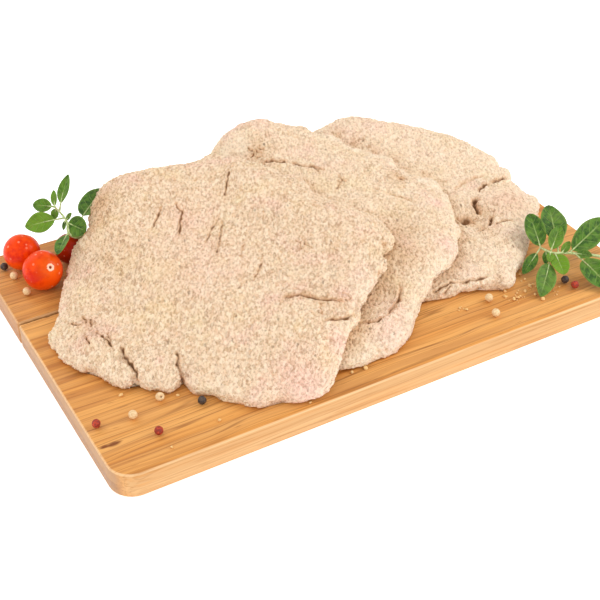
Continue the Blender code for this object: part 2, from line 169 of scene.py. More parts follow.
class Graph:
    """Adds nodes to the node tree of a material, a world or a modifier."""

    def __init__(self, tree: bpy.types.NodeTree) -> None:
        """Keeps the tree that the nodes go into."""
        self.tree = tree

    @staticmethod
    def pick(sockets: Any, key: Union[int, str]) -> bpy.types.NodeSocket:
        """Finds a socket of a node.

        Args:
            sockets: The node's inputs or outputs.
            key: The socket's place in the list, its identifier or its name.

        Returns:
            The socket.
        """
        if isinstance(key, int):
            return sockets[key]
        for socket in sockets:
            if socket.identifier == key:
                return socket
        return sockets[key]

    def node(self, kind: str, settings: dict | None = None, inputs: dict | None = None) -> bpy.types.Node:
        """Adds a node, with its settings made before its sockets are filled.

        Args:
            kind: The node's type.
            settings: Its settings; "stops" are the (place, colour) pairs of a colour ramp.
            inputs: A number, colour, Value or socket for each of its sockets that is used.

        Returns:
            The node.
        """
        made = self.tree.nodes.new(kind)
        for name, setting in (settings or {}).items():
            if name == "stops":
                stops = made.color_ramp.elements
                while len(stops) < len(setting):
                    stops.new(0.5)
                for stop, (place, colour) in zip(stops, setting):
                    stop.position, stop.color = place, colour
            else:
                setattr(made, name, setting)
        for key, given in (inputs or {}).items():
            socket = self.pick(made.inputs, key)
            if isinstance(given, Value):
                self.tree.links.new(given.socket, socket)
            elif isinstance(given, bpy.types.NodeSocket):
                self.tree.links.new(given, socket)
            else:
                socket.default_value = given
        return made

    def value(
        self, kind: str, settings: dict | None = None, inputs: dict | None = None, output: Union[int, str] = 0
    ) -> Value:
        """Adds a node and wraps one of its outputs.

        Args:
            kind: The node's type.
            settings: Its settings.
            inputs: What its sockets hold.
            output: The output that is wanted.

        Returns:
            The wrapped output.
        """
        return Value(self, self.pick(self.node(kind, settings, inputs).outputs, output))

    def mix(self, share: Number, first: Union[Colour, Value], second: Union[Colour, Value]) -> Value:
        """Mixes two colours.

        Args:
            share: How much of the second colour there is, from 0 to 1.
            first: The colour at 0.
            second: The colour at 1.

        Returns:
            The mixed colour.
        """
        return self.value(
            "ShaderNodeMix",
            {"data_type": "RGBA"},
            {"Factor_Float": share, "A_Color": first, "B_Color": second},
            "Result_Color",
        )

    def scaled(self, vector: Value, scale: Place) -> Value:
        """Returns a vector with each of its parts scaled."""
        return self.value("ShaderNodeVectorMath", {"operation": "MULTIPLY"}, {0: vector, 1: scale})

    def noise(self, vector: Value, scale: float, detail: float = 2.0, output: Union[int, str] = 0) -> Value:
        """Adds a noise texture.

        Args:
            vector: Where it is read.
            scale: How many of its blobs fit in a metre.
            detail: How many finer octaves are added.
            output: Its factor or its colour.

        Returns:
            The noise, around one half.
        """
        numbers = {"Vector": vector, "Scale": scale, "Detail": detail, "Roughness": 0.6}
        return self.value("ShaderNodeTexNoise", {}, numbers, output)

    def cells(self, vector: Value, scale: Number, output: Union[int, str] = "Distance") -> Value:
        """Adds a cell texture.

        Args:
            vector: Where it is read.
            scale: How many cells fit in a metre.
            output: The distance to a cell's middle or the cell's own colour.

        Returns:
            That output.
        """
        return self.value("ShaderNodeTexVoronoi", {}, {"Vector": vector, "Scale": scale}, output)

    def borders(self, vector: Value, scale: Number) -> Value:
        """Adds a cell texture that tells how far the border of a cell is.

        Args:
            vector: Where it is read.
            scale: How many cells fit in a metre.

        Returns:
            The distance to the border, in cells.
        """
        feature = {"feature": "DISTANCE_TO_EDGE"}
        return self.value("ShaderNodeTexVoronoi", feature, {"Vector": vector, "Scale": scale}, "Distance")

    def crumbled(self, vector: Value) -> Value:
        """Shifts and stretches places, so that the cells read there look like pressed crumbs.

        Args:
            vector: The places.

        Returns:
            Where the cells are read.
        """
        way = (0.49, 0.87, 0.0)
        bent = self.noise(vector, 800.0, 2.0, "Color")
        shift = self.value("ShaderNodeVectorMath", {"operation": "SUBTRACT"}, {0: bent, 1: (0.5, 0.5, 0.5)})
        moved = self.value(
            "ShaderNodeVectorMath", {"operation": "MULTIPLY_ADD"}, {0: shift, 1: (0.0020,) * 3, 2: vector}
        )
        run = self.value("ShaderNodeVectorMath", {"operation": "DOT_PRODUCT"}, {0: moved, 1: way}, "Value")
        back = self.value("ShaderNodeVectorMath", {"operation": "SCALE"}, {0: way, "Scale": run * -0.48})
        return self.value("ShaderNodeVectorMath", {"operation": "ADD"}, {0: moved, 1: back})


class Surface(Graph):
    """The graph of a new material, with its main shader."""

    def __init__(self, name: str) -> None:
        """Makes an empty material of that name."""
        self.material = bpy.data.materials.new(name)
        self.material.use_nodes = True
        super().__init__(self.material.node_tree)
        self.tree.nodes.clear()
        self.place = self.value("ShaderNodeTexCoord", output="Object")

    def attribute(self, name: str, output: str = "Fac") -> Value:
        """Returns an attribute that the mesh carries."""
        return self.value("ShaderNodeAttribute", {"attribute_name": name}, output=output)

    def parts(self, vector: Value) -> tuple[Value, Value, Value]:
        """Splits a vector or a place.

        Args:
            vector: What is split.

        Returns:
            Its three numbers.
        """
        split = self.node("ShaderNodeSeparateXYZ", {}, {0: vector})
        return tuple(Value(self, socket) for socket in split.outputs)

    def bump(self, height: Value, depth: float, strength: float = 1.0) -> Value:
        """Turns a height into a bent normal.

        Args:
            height: The height, from 0 to 1.
            depth: How deep the relief is, in metres.
            strength: How much of it shows.

        Returns:
            The normal.
        """
        return self.value(
            "ShaderNodeBump", {}, {"Height": height, "Distance": depth, "Strength": strength}, "Normal"
        )

    def finish(self, **inputs: Any) -> bpy.types.Material:
        """Adds the main shader and the output.

        Args:
            inputs: What the shader's sockets hold; a lower line stands for a space in their names.

        Returns:
            The material.
        """
        named = {key.replace("_", " "): given for key, given in inputs.items()}
        shader = self.node("ShaderNodeBsdfPrincipled", {}, named)
        self.node("ShaderNodeOutputMaterial", {}, {"Surface": shader.outputs[0]})
        return self.material


class GeometryTree(Graph):
    """A Geometry Nodes tree with named inputs, run once on an object to give a plain mesh."""

    def __init__(self, name: str) -> None:
        """Makes an empty tree with its geometry going in and out."""
        super().__init__(bpy.data.node_groups.new(name, "GeometryNodeTree"))
        self.tree.interface.new_socket("Geometry", in_out="INPUT", socket_type="NodeSocketGeometry")
        self.tree.interface.new_socket("Geometry", in_out="OUTPUT", socket_type="NodeSocketGeometry")
        self.entry = self.node("NodeGroupInput")

    def input(self, name: str, kind: str = "NodeSocketFloat") -> Value:
        """Adds a named input to the tree.

        Args:
            name: Its name.
            kind: The type of its socket.

        Returns:
            Its value inside the tree.
        """
        made = self.tree.interface.new_socket(name, in_out="INPUT", socket_type=kind)
        return Value(self, self.pick(self.entry.outputs, made.identifier))

    def close(self, geometry: Value) -> None:
        """Ends the tree: real geometry in the finish that its Material input names.

        Args:
            geometry: What the tree has made.
        """
        finish = self.input("Material", "NodeSocketMaterial")
        real = self.value("GeometryNodeRealizeInstances", {}, {"Geometry": geometry})
        dressed = self.value("GeometryNodeSetMaterial", {}, {"Geometry": real, "Material": finish})
        self.node("NodeGroupOutput", {}, {0: dressed})

    def run(self, source: bpy.types.Object, name: str, values: dict[str, Any]) -> bpy.types.Object:
        """Runs the tree on an object and keeps the result as a plain mesh of its own.

        Args:
            source: The object that the tree starts from.
            name: The name of the new piece.
            values: The tree's inputs, by name.

        Returns:
            The new piece.
        """
        modifier = source.modifiers.new(self.tree.name, "NODES")
        modifier.node_group = self.tree
        for item in self.tree.interface.items_tree:
            if item.in_out == "INPUT" and item.name in values:
                modifier[item.identifier] = values[item.name]
        made = plain_copy(source, name)
        source.modifiers.remove(modifier)
        return made


# ---------------------------------------------------------------- meshes


def link(name: str, mesh: bpy.types.Mesh) -> bpy.types.Object:
    """Puts a mesh into the scene as an object at the origin.

    Args:
        name: The object's name.
        mesh: Its mesh.

    Returns:
        The object.
    """
    made = bpy.data.objects.new(name, mesh)
    bpy.context.scene.collection.objects.link(made)
    return made


def plain_copy(source: bpy.types.Object, name: str) -> bpy.types.Object:
    """Copies an object as its modifiers leave it, into a plain mesh.

    Args:
        source: The object, with its modifiers.
        name: The name of the copy.

    Returns:
        The copy.
    """
    seen = source.evaluated_get(bpy.context.evaluated_depsgraph_get())
    mesh = bpy.data.meshes.new_from_object(seen)
    mesh.name = name
    return link(name, mesh)


def smooth(mesh: bpy.types.Mesh, edge_angle: float | None = None) -> None:
    """Shades a mesh smoothly.

    Args:
        mesh: The mesh.
        edge_angle: The angle in degrees past which an edge stays sharp; None leaves no edge sharp.
    """
    mesh.shade_smooth()
    if edge_angle is not None:
        mesh.set_sharp_from_angle(angle=math.radians(edge_angle))


def from_lists(name: str, points: Sequence, faces: Sequence) -> bpy.types.Mesh:
    """Makes a mesh from its points and faces, merged and with its faces outwards.

    Args:
        name: The mesh's name.
        points: Its points, in metres.
        faces: The points of each face.

    Returns:
        The mesh.
    """
    mesh = bpy.data.meshes.new(name)
    mesh.from_pydata([tuple(p) for p in points], [], faces)
    made = bmesh.new()
    made.from_mesh(mesh)
    bmesh.ops.remove_doubles(made, verts=made.verts, dist=1e-6)
    bmesh.ops.recalc_face_normals(made, faces=made.faces)
    made.to_mesh(mesh)
    made.free()
    return mesh


def tube_rings(path: Sequence[Vector], radii: Sequence[float], sides: int) -> tuple[list, list]:
    """Builds the skin of a round tube with closed ends, without letting it twist.

    Args:
        path: The points that it runs through.
        radii: Its radius at each of them.
        sides: How many sides it has.

    Returns:
        Its points and its faces.
    """
    points, faces = [], []
    along = (path[1] - path[0]).normalized()
    across = along.orthogonal().normalized()
    for index, (spot, radius) in enumerate(zip(path, radii)):
        ahead = path[min(index + 1, len(path) - 1)] - path[max(index - 1, 0)]
        turned = ahead.normalized()
        across = (across - turned * across.dot(turned)).normalized()
        beside = turned.cross(across)
        for side in range(sides):
            angle = 2 * math.pi * side / sides
            points.append(spot + (across * math.cos(angle) + beside * math.sin(angle)) * radius)
    for ring in range(len(path) - 1):
        for side in range(sides):
            after = (side + 1) % sides
            low, high = ring * sides, (ring + 1) * sides
            faces.append((low + side, low + after, high + after, high + side))
    faces.append(tuple(reversed(range(sides))))
    faces.append(tuple(range((len(path) - 1) * sides, len(path) * sides)))
    return points, faces


def dress(piece: bpy.types.Object, nodes: Iterable[str] = ()) -> bpy.types.Object:
    """Ties a finished piece to the model.

    Args:
        piece: The piece.
        nodes: The solids that it stands for.

    Returns:
        The piece.
    """
    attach(piece, BODY)
    if nodes:
        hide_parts(*nodes)
    LOG.info("%s: %d faces", piece.name, len(piece.data.polygons))
    return piece


# ---------------------------------------------------------------- finishes


@dataclass(frozen=True)
class CrumbFinish:
    """Raw breadcrumbs pressed onto meat: pale grains, darker gaps between them painted as shade, and stains where the
    meat shows.

    Sizes are in metres. The mesh carries "core" (the place of the meat under the coat), three tint shares from 0 to 1
    (pink where the meat shows, brown that is mostly painted shadow, and a painted highlight along the rim, where the
    coat is also smoother) and "hollow" (where cracks, pits and nicks get painted shade).
    """

    name: str = "breadcrumbs"
    grain: float = 0.0018
    sand: float = 0.0013
    dust: float = 0.0006
    body: Colour = tone(232, 201, 168)
    # pale: paler crumbs, and the painted highlight on the raised grains
    pale: Colour = tone(255, 238, 212)
    warm: Colour = tone(224, 184, 142)
    # gap and deep: painted shade between the grains and in small pits, with darker crumbs
    gap: Colour = tone(150, 108, 72)
    deep: Colour = tone(94, 64, 42)
    pink: Colour = tone(238, 190, 174)
    straw: Colour = tone(236, 208, 156)
    # brown: browner crumbs, and the colour of the painted shadow in the brown share
    brown: Colour = tone(206, 156, 102)
    # rim: painted highlight along the rims of the cuts; a cut's pale share also lifts its whole coat with it
    rim: Colour = tone(248, 230, 205)
    # painted shade round cracks, pits and nicks, warm brown
    hollow_shade: Colour = tone(212, 160, 112)
    gold: Colour = tone(240, 190, 108)
    # painted shade in the middle of cracks, pits and nicks, dark brown
    raw: Colour = tone(112, 72, 38)

    def make(self) -> bpy.types.Material:
        """Returns the material."""
        on = Surface(self.name)
        core = on.attribute("core", "Vector")
        where = on.crumbled(core)
        edge = on.borders(where, 1 / self.grain)
        hue = on.parts(on.cells(where, 1 / self.grain, "Color"))
        sand = on.noise(where, 1 / self.sand, 1.0)
        dust = on.noise(on.place, 1 / self.dust, 2.0)
        patch = on.noise(core, 38.0, 3.0)
        cloud = on.noise(core, 85.0, 2.0)
        open_coat = on.noise(core, 150.0, 3.0)
        stain = on.parts(on.attribute("stain", "Vector"))
        hollow = on.attribute("hollow")
        pit = on.cells(where, 165.0)
        pit_hue = on.parts(on.cells(where, 165.0, "Color"))

        colour = on.mix(hue[0].mapped(0.45, 1.0) * 0.4, self.body, self.warm)
        colour = on.mix(hue[1].mapped(0.35, 0.9) * 0.35, colour, self.pale)
        colour = on.mix(patch.mapped(0.52, 0.70) * 0.45, colour, self.pink)
        colour = on.mix(patch.mapped(0.48, 0.32) * 0.35, colour, self.straw)
        colour = on.mix(cloud.mapped(0.58, 0.78) * 0.12, colour, self.brown)
        colour = on.mix(stain[0] * 0.85, colour, self.pink)
        # brown share: mostly painted shadow, where this cut lies under another and in folds and pits, with browner
        # crumbs in places
        colour = on.mix(stain[1] * 0.62, colour, self.brown)
        # rim share: painted highlight along the rims, where the coat is also smoother; a cut's pale share lifts its
        # whole coat with it
        colour = on.mix(stain[2] * 0.8, colour, self.rim)
        # painted highlight on the raised grains, with paler crumbs; none where the painted shadow lies
        colour = on.mix((1 - stain[1]) * sand.mapped(0.50, 0.66) * 0.38, colour, self.pale)
        # the rough, open coat and the brown share bring more painted shade into the gaps; the rim share brings less
        rough = (1 - stain[2] * 0.6) * (open_coat.mapped(0.34, 0.66, 0.68, 1.0) + stain[1] * 0.6)
        spread = 0.14 + stain[1] * 0.07 + (dust - 0.5) * 0.16
        # painted shade in the gaps between the grains and in the low places of the sand, with darker crumbs
        gaps = ((spread - edge) / spread).mapped(0.0, 0.9) * sand.mapped(0.56, 0.40) * rough
        colour = on.mix(gaps * 0.44, colour, self.gap)
        colour = on.mix(sand.mapped(0.52, 0.30) * rough * 0.31, colour, self.gap)
        colour = on.mix(hue[2].mapped(0.90, 0.97) * rough * 0.35, colour, self.gap)
        # painted shade in small pits among the grains
        sunk = pit.mapped(0.17, 0.07) * pit_hue[0].mapped(0.52, 0.7)
        colour = on.mix(sunk * (0.5 + stain[1] * 0.5), colour, self.deep)
        # painted shade in cracks, pits and nicks: warm brown round them, dark brown in their middle
        colour = on.mix(hollow.mapped(0.10, 0.50) * 0.38, colour, self.hollow_shade)
        colour = on.mix(hollow.mapped(0.45, 0.85) * 0.9, colour, self.raw)
        colour = on.mix(on.attribute("fallen") * 0.75, colour, self.gold)
        height = edge.mapped(0.0, 0.3) * 0.25 + sand * 1.8 + dust * 0.3
        return on.finish(
            Base_Color=colour,
            Roughness=dust.mapped(0.3, 0.7, 0.75, 0.95),
            Specular_IOR_Level=0.2,
            Subsurface_Weight=0.05,
            Subsurface_Scale=0.002,
            Normal=on.bump(height, 0.0005, 0.8),
        )


@dataclass(frozen=True)
class Knot:
    """A dark mark in the bamboo: its place and half length, in mm."""

    at: Place
    reach: float


@dataclass(frozen=True)
class BambooFinish:
    """Oiled bamboo glued up from strips, its fibres along X, with paler sides, rough end grain, a painted highlight
    along its eased edges and painted shade on the rear plank.
    """

    name: str = "bamboo"
    strip: float = 0.0098
    layer: float = 0.0041
    waves: Place = (0.0, 0.005, 0.002)
    light: Colour = tone(236, 178, 104)
    body: Colour = tone(220, 151, 73)
    dark: Colour = tone(182, 112, 46)
    fleck: Colour = tone(128, 70, 26)
    side: Colour = tone(218, 176, 124)
    side_line: Colour = tone(176, 120, 62)
    end: Colour = tone(160, 120, 90)
    end_dark: Colour = tone(116, 78, 54)
    # painted highlight along the eased edges, with a little wear
    wear_and_edge_highlight: Colour = tone(240, 200, 150)
    seam: float = SEAM
    knots: tuple[Knot, ...] = (Knot((-165.6, -84.5, 16.0), 2.4), Knot((-170.5, -84.0, 16.0), 1.8))

    def make(self) -> bpy.types.Material:
        """Returns the material."""
        on = Surface(self.name)
        _, y, z = on.parts(on.place)
        normal = on.parts(on.value("ShaderNodeNewGeometry", output="Normal"))
        wander = on.noise(on.scaled(on.place, (9.0, 1.0, 1.0)), 1.0, 1.0)
        bend = on.noise(on.scaled(on.place, (16.0, 40.0, 40.0)), 1.0, 1.0)
        bends = {0: bend, 1: self.waves, 2: on.place}
        wavy = on.value("ShaderNodeVectorMath", {"operation": "MULTIPLY_ADD"}, bends)
        across = (y + wander * 0.0012) / self.strip
        seed = on.value("ShaderNodeTexWhiteNoise", {"noise_dimensions": "1D"}, {"W": across.floor()})
        layers = (z + wander * 0.0008) / self.layer
        layer_seed = on.value("ShaderNodeTexWhiteNoise", {"noise_dimensions": "1D"}, {"W": layers.floor()})
        fibre = on.noise(on.scaled(wavy, (14.0, 900.0, 900.0)), 1.0, 3.0)
        streak = on.noise(on.scaled(wavy, (6.0, 250.0, 250.0)), 1.0, 3.0)
        broad = on.noise(on.scaled(on.place, (4.0, 48.0, 48.0)), 1.0, 2.0)
        grain = on.noise(on.scaled(wavy, (4.5, 190.0, 190.0)), 1.0, 1.0)
        flecks = on.noise(on.scaled(wavy, (60.0, 800.0, 800.0)), 1.0, 2.0)
        pores = on.noise(on.scaled(on.place, (900.0, 520.0, 900.0)), 1.0, 3.0)

        colour = on.mix(streak.mapped(0.36, 0.64), self.dark, self.body)
        colour = on.mix(seed.mapped(0.1, 1.0) * 0.40, colour, self.light)
        colour = on.mix(broad.mapped(0.45, 0.68) * 0.40, colour, self.light)
        colour = on.mix(fibre.mapped(0.5, 0.8) * 0.35, colour, self.light)
        colour = on.mix(fibre.mapped(0.5, 0.2) * 0.65, colour, self.dark)
        lines = (grain - 0.5).magnitude().mapped(0.03, 0.0) * broad.mapped(0.35, 0.6, 0.35, 1.0)
        colour = on.mix(lines * 0.55, colour, self.fleck)
        colour = on.mix(flecks.mapped(0.64, 0.76) * 0.5, colour, self.fleck)
        joint = (across.fraction() - 0.5).magnitude().mapped(0.45, 0.5) * seed.mapped(0.1, 0.7)
        colour = on.mix(joint * 0.5, colour, self.fleck)
        front = normal[1].magnitude().mapped(0.5, 0.9)
        side = on.mix(layer_seed * 0.35, self.side, self.side_line)
        side = on.mix((grain - 0.5).magnitude().mapped(0.05, 0.0) * 0.4, side, self.side_line)
        side = on.mix(fibre.mapped(0.52, 0.30) * 0.6, side, self.side_line)
        side = on.mix(streak.mapped(0.55, 0.3) * 0.4, side, self.body)
        colour = on.mix(front * 0.9, colour, side)
        end = normal[0].magnitude().mapped(0.6, 0.95)
        ends = on.mix(pores.mapped(0.58, 0.72) * 0.7, self.end, self.end_dark)
        ends = on.mix(layer_seed * 0.3, ends, self.side)
        colour = on.mix(end * 0.9, colour, ends)
        # painted highlight along the eased top edges, broken by the fibres, with a little wear
        wear_and_edge_highlight = normal[2].mapped(0.10, 0.45) * normal[2].mapped(0.985, 0.85)
        colour = on.mix(wear_and_edge_highlight * fibre.mapped(0.3, 0.6, 0.5, 1.0) * 0.7, colour, self.wear_and_edge_highlight)
        split = (y - self.seam + (flecks - 0.5) * 0.0008).magnitude().mapped(0.0013, 0.0006)
        colour = on.mix(split * 0.8, colour, self.fleck)
        # painted shade: the rear plank a little darker
        colour = on.mix((y - self.seam).mapped(0.0, 0.002) * 0.3, colour, self.dark)
        for knot in self.knots:
            middle = tuple(part * MM for part in knot.at)
            stretched = on.scaled(on.place, (0.45, 1.0, 0.5))
            centre = (middle[0] * 0.45, middle[1], middle[2] * 0.5)
            away = on.value("ShaderNodeVectorMath", {"operation": "DISTANCE"}, {0: stretched, 1: centre}, "Value")
            mark = (away + (flecks - 0.5) * 0.002).mapped(knot.reach * MM, knot.reach * MM * 0.3)
            colour = on.mix(mark, colour, self.fleck)
        return on.finish(
            Base_Color=colour,
            Roughness=streak.mapped(0.3, 0.7, 0.45, 0.6),
            Specular_IOR_Level=0.3,
            Normal=on.bump(fibre * 0.5 + flecks * 0.2 + (1 - lines) * 0.3, 0.00025, 0.6),
        )


@dataclass(frozen=True)
class TomatoFinish:
    """Tight glossy skin with small painted highlights; the mesh carries "scar", how far a point is from the stem scar
    in metres, and a number for how much the tomato is painted darker as shade.
    """

    name: str = "tomato_skin"
    skin: Colour = tone(232, 64, 4)
    ripe: Colour = tone(204, 34, 2)
    flush: Colour = tone(240, 110, 14)
    # deep: painted shade for a tomato that lies in shadow
    deep: Colour = tone(128, 18, 6)
    # painted highlights: small pale spots on the skin
    glint: Colour = tone(255, 184, 150)
    ring: Colour = tone(250, 205, 180)
    heart: Colour = tone(110, 50, 30)

    def make(self) -> bpy.types.Material:
        """Returns the material."""
        on = Surface(self.name)
        scar = on.attribute("scar")
        blush = on.noise(on.place, 95.0, 3.0)
        fine = on.noise(on.place, 1500.0, 2.0)
        ragged = scar + (on.noise(on.place, 900.0, 2.0) - 0.5) * 0.0012
        colour = on.mix(blush.mapped(0.42, 0.62), self.skin, self.ripe)
        colour = on.mix(scar.mapped(0.012, 0.002) * 0.5, colour, self.flush)
        low = on.parts(on.place)[2].mapped(BOARD_TOP + 0.014, BOARD_TOP + 0.002)
        colour = on.mix(low * 0.55, colour, self.flush)
        # painted shade over the whole of a tomato that lies in shadow
        colour = on.mix(on.attribute("ripeness") * 0.8, colour, self.deep)
        colour = on.mix(fine.mapped(0.62, 0.75) * 0.2, colour, self.flush)
        # painted highlights: small pale spots, which the bump also raises a little
        glint_spots = on.cells(on.place, 300.0).mapped(0.30, 0.16)
        glint_spots = glint_spots * on.parts(on.cells(on.place, 300.0, "Color"))[0].mapped(0.5, 0.8)
        colour = on.mix(glint_spots * 0.45, colour, self.glint)
        ring = ragged.mapped(0.0026, 0.0019) * ragged.mapped(0.0007, 0.0012)
        colour = on.mix(ring, colour, self.ring)
        heart = ragged.mapped(0.0011, 0.0005)
        colour = on.mix(heart, colour, self.heart)
        return on.finish(
            Base_Color=colour,
            Roughness=ring.mapped(0.0, 1.0, 0.32, 0.6),
            Coat_Weight=ring.mapped(0.0, 1.0, 0.07, 0.0),
            Coat_Roughness=0.08,
            Specular_IOR_Level=0.08,
            Normal=on.bump(fine * 0.3 + glint_spots * 0.7, 0.00025, 0.5),
        )


@dataclass(frozen=True)
class LeafFinish:
    """A soft green leaf; its UV map runs across it in U and along it in V, and it carries "young"."""

    name: str = "oregano_leaf"
    blade: Colour = tone(78, 118, 28)
    deep: Colour = tone(40, 76, 14)
    fresh: Colour = tone(132, 162, 70)
    young: Colour = tone(112, 152, 20)
    vein: Colour = tone(160, 182, 104)
    pairs: float = 5.0

    def make(self) -> bpy.types.Material:
        """Returns the material."""
        on = Surface(self.name)
        u, v, _ = on.parts(on.value("ShaderNodeTexCoord", output="UV"))
        half = (u - 0.5).magnitude() * 2
        rise = (v - half * 0.22) * self.pairs
        side = (rise.fraction() - 0.5).magnitude()
        ribs = side.mapped(0.09, 0.0) * half.mapped(1.0, 0.55)
        middle = half.mapped(0.09, 0.02)
        mottle = on.noise(on.place, 320.0, 3.0)
        fine = on.noise(on.place, 2600.0, 2.0)
        wide = on.noise(on.place, 60.0, 1.0)
        colour = on.mix(mottle.mapped(0.38, 0.64), self.blade, self.deep)
        colour = on.mix(wide.mapped(0.45, 0.65) * 0.25, colour, self.fresh)
        colour = on.mix(half.mapped(0.80, 1.0) * 0.45, colour, self.fresh)
        colour = on.mix(fine.mapped(0.55, 0.75) * 0.3, colour, self.fresh)
        colour = on.mix(on.attribute("young") * 0.8, colour, self.young)
        colour = on.mix(ribs * 0.30, colour, self.vein)
        colour = on.mix(middle * v.mapped(1.0, 0.5) * 0.6, colour, self.vein)
        height = (1 - ribs) * 0.5 + mottle * 0.3 + fine * 0.2
        return on.finish(
            Base_Color=colour,
            Roughness=fine.mapped(0.3, 0.7, 0.5, 0.65),
            Specular_IOR_Level=0.25,
            Sheen_Weight=0.05,
            Subsurface_Weight=0.12,
            Subsurface_Scale=0.001,
            Normal=on.bump(height, 0.0004, 0.8),
        )


@dataclass(frozen=True)
class StemFinish:
    """A pale green stem, a little reddish in places."""

    name: str = "oregano_stem"
    green: Colour = tone(196, 208, 148)
    dark: Colour = tone(138, 158, 84)
    red: Colour = tone(178, 150, 108)

    def make(self) -> bpy.types.Material:
        """Returns the material."""
        on = Surface(self.name)
        grain = on.noise(on.place, 700.0, 3.0)
        wide = on.noise(on.place, 110.0, 2.0)
        colour = on.mix(grain.mapped(0.35, 0.7), self.green, self.dark)
        colour = on.mix(wide.mapped(0.55, 0.75) * 0.5, colour, self.red)
        return on.finish(
            Base_Color=colour, Roughness=grain.mapped(0.3, 0.7, 0.45, 0.65), Normal=on.bump(grain, 0.0002, 0.5)
        )


class Pepper(Enum):
    """The kinds of peppercorn on the board."""

    WHITE = "white"
    RED = "red"
    BLACK = "black"


@dataclass(frozen=True)
class PepperFinish:
    """The husk of a peppercorn: a light and a dark colour in its wrinkles."""

    kind: Pepper
    light: Colour
    dark: Colour
    gloss: float = 0.5
    relief: float = 0.0003
    inside: Colour = tone(120, 66, 40)

    def make(self) -> bpy.types.Material:
        """Returns the material."""
        on = Surface(f"{self.kind.value}_pepper")
        wrinkle = on.noise(on.place, 900.0, 3.0)
        fine = on.noise(on.place, 3500.0, 2.0)
        dent = on.attribute("hollow")
        colour = on.mix(wrinkle.mapped(0.38, 0.66), self.dark, self.light)
        colour = on.mix(dent.mapped(0.25, 0.8) * 0.9, colour, self.inside)
        colour = on.mix(fine.mapped(0.55, 0.8) * 0.3, colour, self.light)
        return on.finish(
            Base_Color=colour,
            Roughness=wrinkle.mapped(0.3, 0.7, self.gloss, self.gloss + 0.2),
            Normal=on.bump(wrinkle * 0.7 + fine * 0.3, self.relief, 0.7),
        )


@dataclass(frozen=True)
class FloorFinish:
    """A plain pale sweep."""

    name: str = "studio_floor"
    colour: Colour = (0.95, 0.95, 0.95, 1.0)
    glow: float = 0.55

    def make(self) -> bpy.types.Material:
        """Returns the material."""
        on = Surface(self.name)
        faint = on.noise(on.place, 3.0, 1.0)
        return on.finish(
            Base_Color=on.mix(faint * 0.02, self.colour, (0.92, 0.92, 0.92, 1.0)),
            Roughness=0.9,
            Emission_Color=(1.0, 1.0, 1.0, 1.0),
            Emission_Strength=self.glow,
        )


# ---------------------------------------------------------------- the board


@dataclass
class Plank:
    """One plank of the board: rounded outer corners, eased edges and a chipped seam; sizes in metres."""

    node: str
    outer_side: int
    corner: float = 0.014
    seam_corner: float = 0.0015
    ease: float = 0.0014
    seam_gap: float = 0.0004
    chips: float = 0.0010
    turns: int = 10
    seam_steps: int = 190

    def seam(self, inset: float, start: float, end: float, edge: float) -> list[Point]:
        """Works out the chipped edge along the seam.

        Args:
            inset: How far inside its widest line the outline runs.
            start: The X that it starts from.
            end: The X that it ends at.
            edge: The Y of the seam.

        Returns:
            Its points, without the two ends.
        """
        points = []
        for step in range(1, self.seam_steps):
            x = start + (end - start) * step / self.seam_steps
            chip = max(0.0, noise.noise(Vector((x * 330.0, self.outer_side * 4.7, 0.3)))) * self.chips
            points.append((x, edge + self.outer_side * (inset + chip)))
        return points

    def outline(self, inset: float) -> list[Point]:
        """Works out the plank's outline.

        Args:
            inset: How far inside its widest line the outline runs.

        Returns:
            Its points, in order round the plank.
        """
        low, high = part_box(self.node)
        edges = {-1: low.y, 1: high.y}
        edges[-self.outer_side] += self.outer_side * self.seam_gap
        radii = {-self.outer_side: self.seam_corner, self.outer_side: self.corner}
        corners = []
        for x_side, y_side in ((1, -1), (1, 1), (-1, 1), (-1, -1)):
            radius = radii[y_side]
            centre = (
                (high.x - radius) if x_side > 0 else (low.x + radius),
                edges[y_side] - y_side * radius,
            )
            start = {(1, -1): -90, (1, 1): 0, (-1, 1): 90, (-1, -1): 180}[(x_side, y_side)]
            corners.append((centre, radius, start))
        points = []
        for centre, radius, start in corners:
            for turn in range(self.turns + 1):
                angle = math.radians(start + 90 * turn / self.turns)
                reach = max(radius - inset, 0.0001)
                points.append((centre[0] + reach * math.cos(angle), centre[1] + reach * math.sin(angle)))
            if centre is corners[1 if self.outer_side < 0 else 3][0]:
                start_x, end_x = (high.x, low.x) if self.outer_side < 0 else (low.x, high.x)
                room = math.copysign(self.seam_corner + self.ease, end_x - start_x)
                points += self.seam(inset, start_x + room, end_x - room, edges[-self.outer_side])
        return points

    def build(self, finish: bpy.types.Material) -> bpy.types.Object:
        """Builds and dresses the plank.

        Args:
            finish: The bamboo.

        Returns:
            The plank.
        """
        low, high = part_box(self.node)
        steps = [(self.ease * (1 - math.sin(a)), self.ease * (1 - math.cos(a))) for a in (0, 0.4, 0.8, 1.2, 1.5708)]
        levels = [(inset, low.z + up) for inset, up in steps]
        levels += [(inset, high.z - up) for inset, up in reversed(steps)]
        points, faces = [], []
        count = 0
        for inset, height in levels:
            ring = self.outline(inset)
            count = len(ring)
            points += [(x, y, height) for x, y in ring]
        for level in range(len(levels) - 1):
            for spot in range(count):
                after = (spot + 1) % count
                lower, upper = level * count, (level + 1) * count
                faces.append((lower + spot, lower + after, upper + after, upper + spot))
        faces.append(tuple(reversed(range(count))))
        faces.append(tuple(range((len(levels) - 1) * count, len(levels) * count)))
        name = f"{self.node}_wood"
        mesh = from_lists(name, points, faces)
        mesh.materials.append(finish)
        smooth(mesh, 35)
        return dress(link(name, mesh), [self.node])


# ---------------------------------------------------------------- the garnish


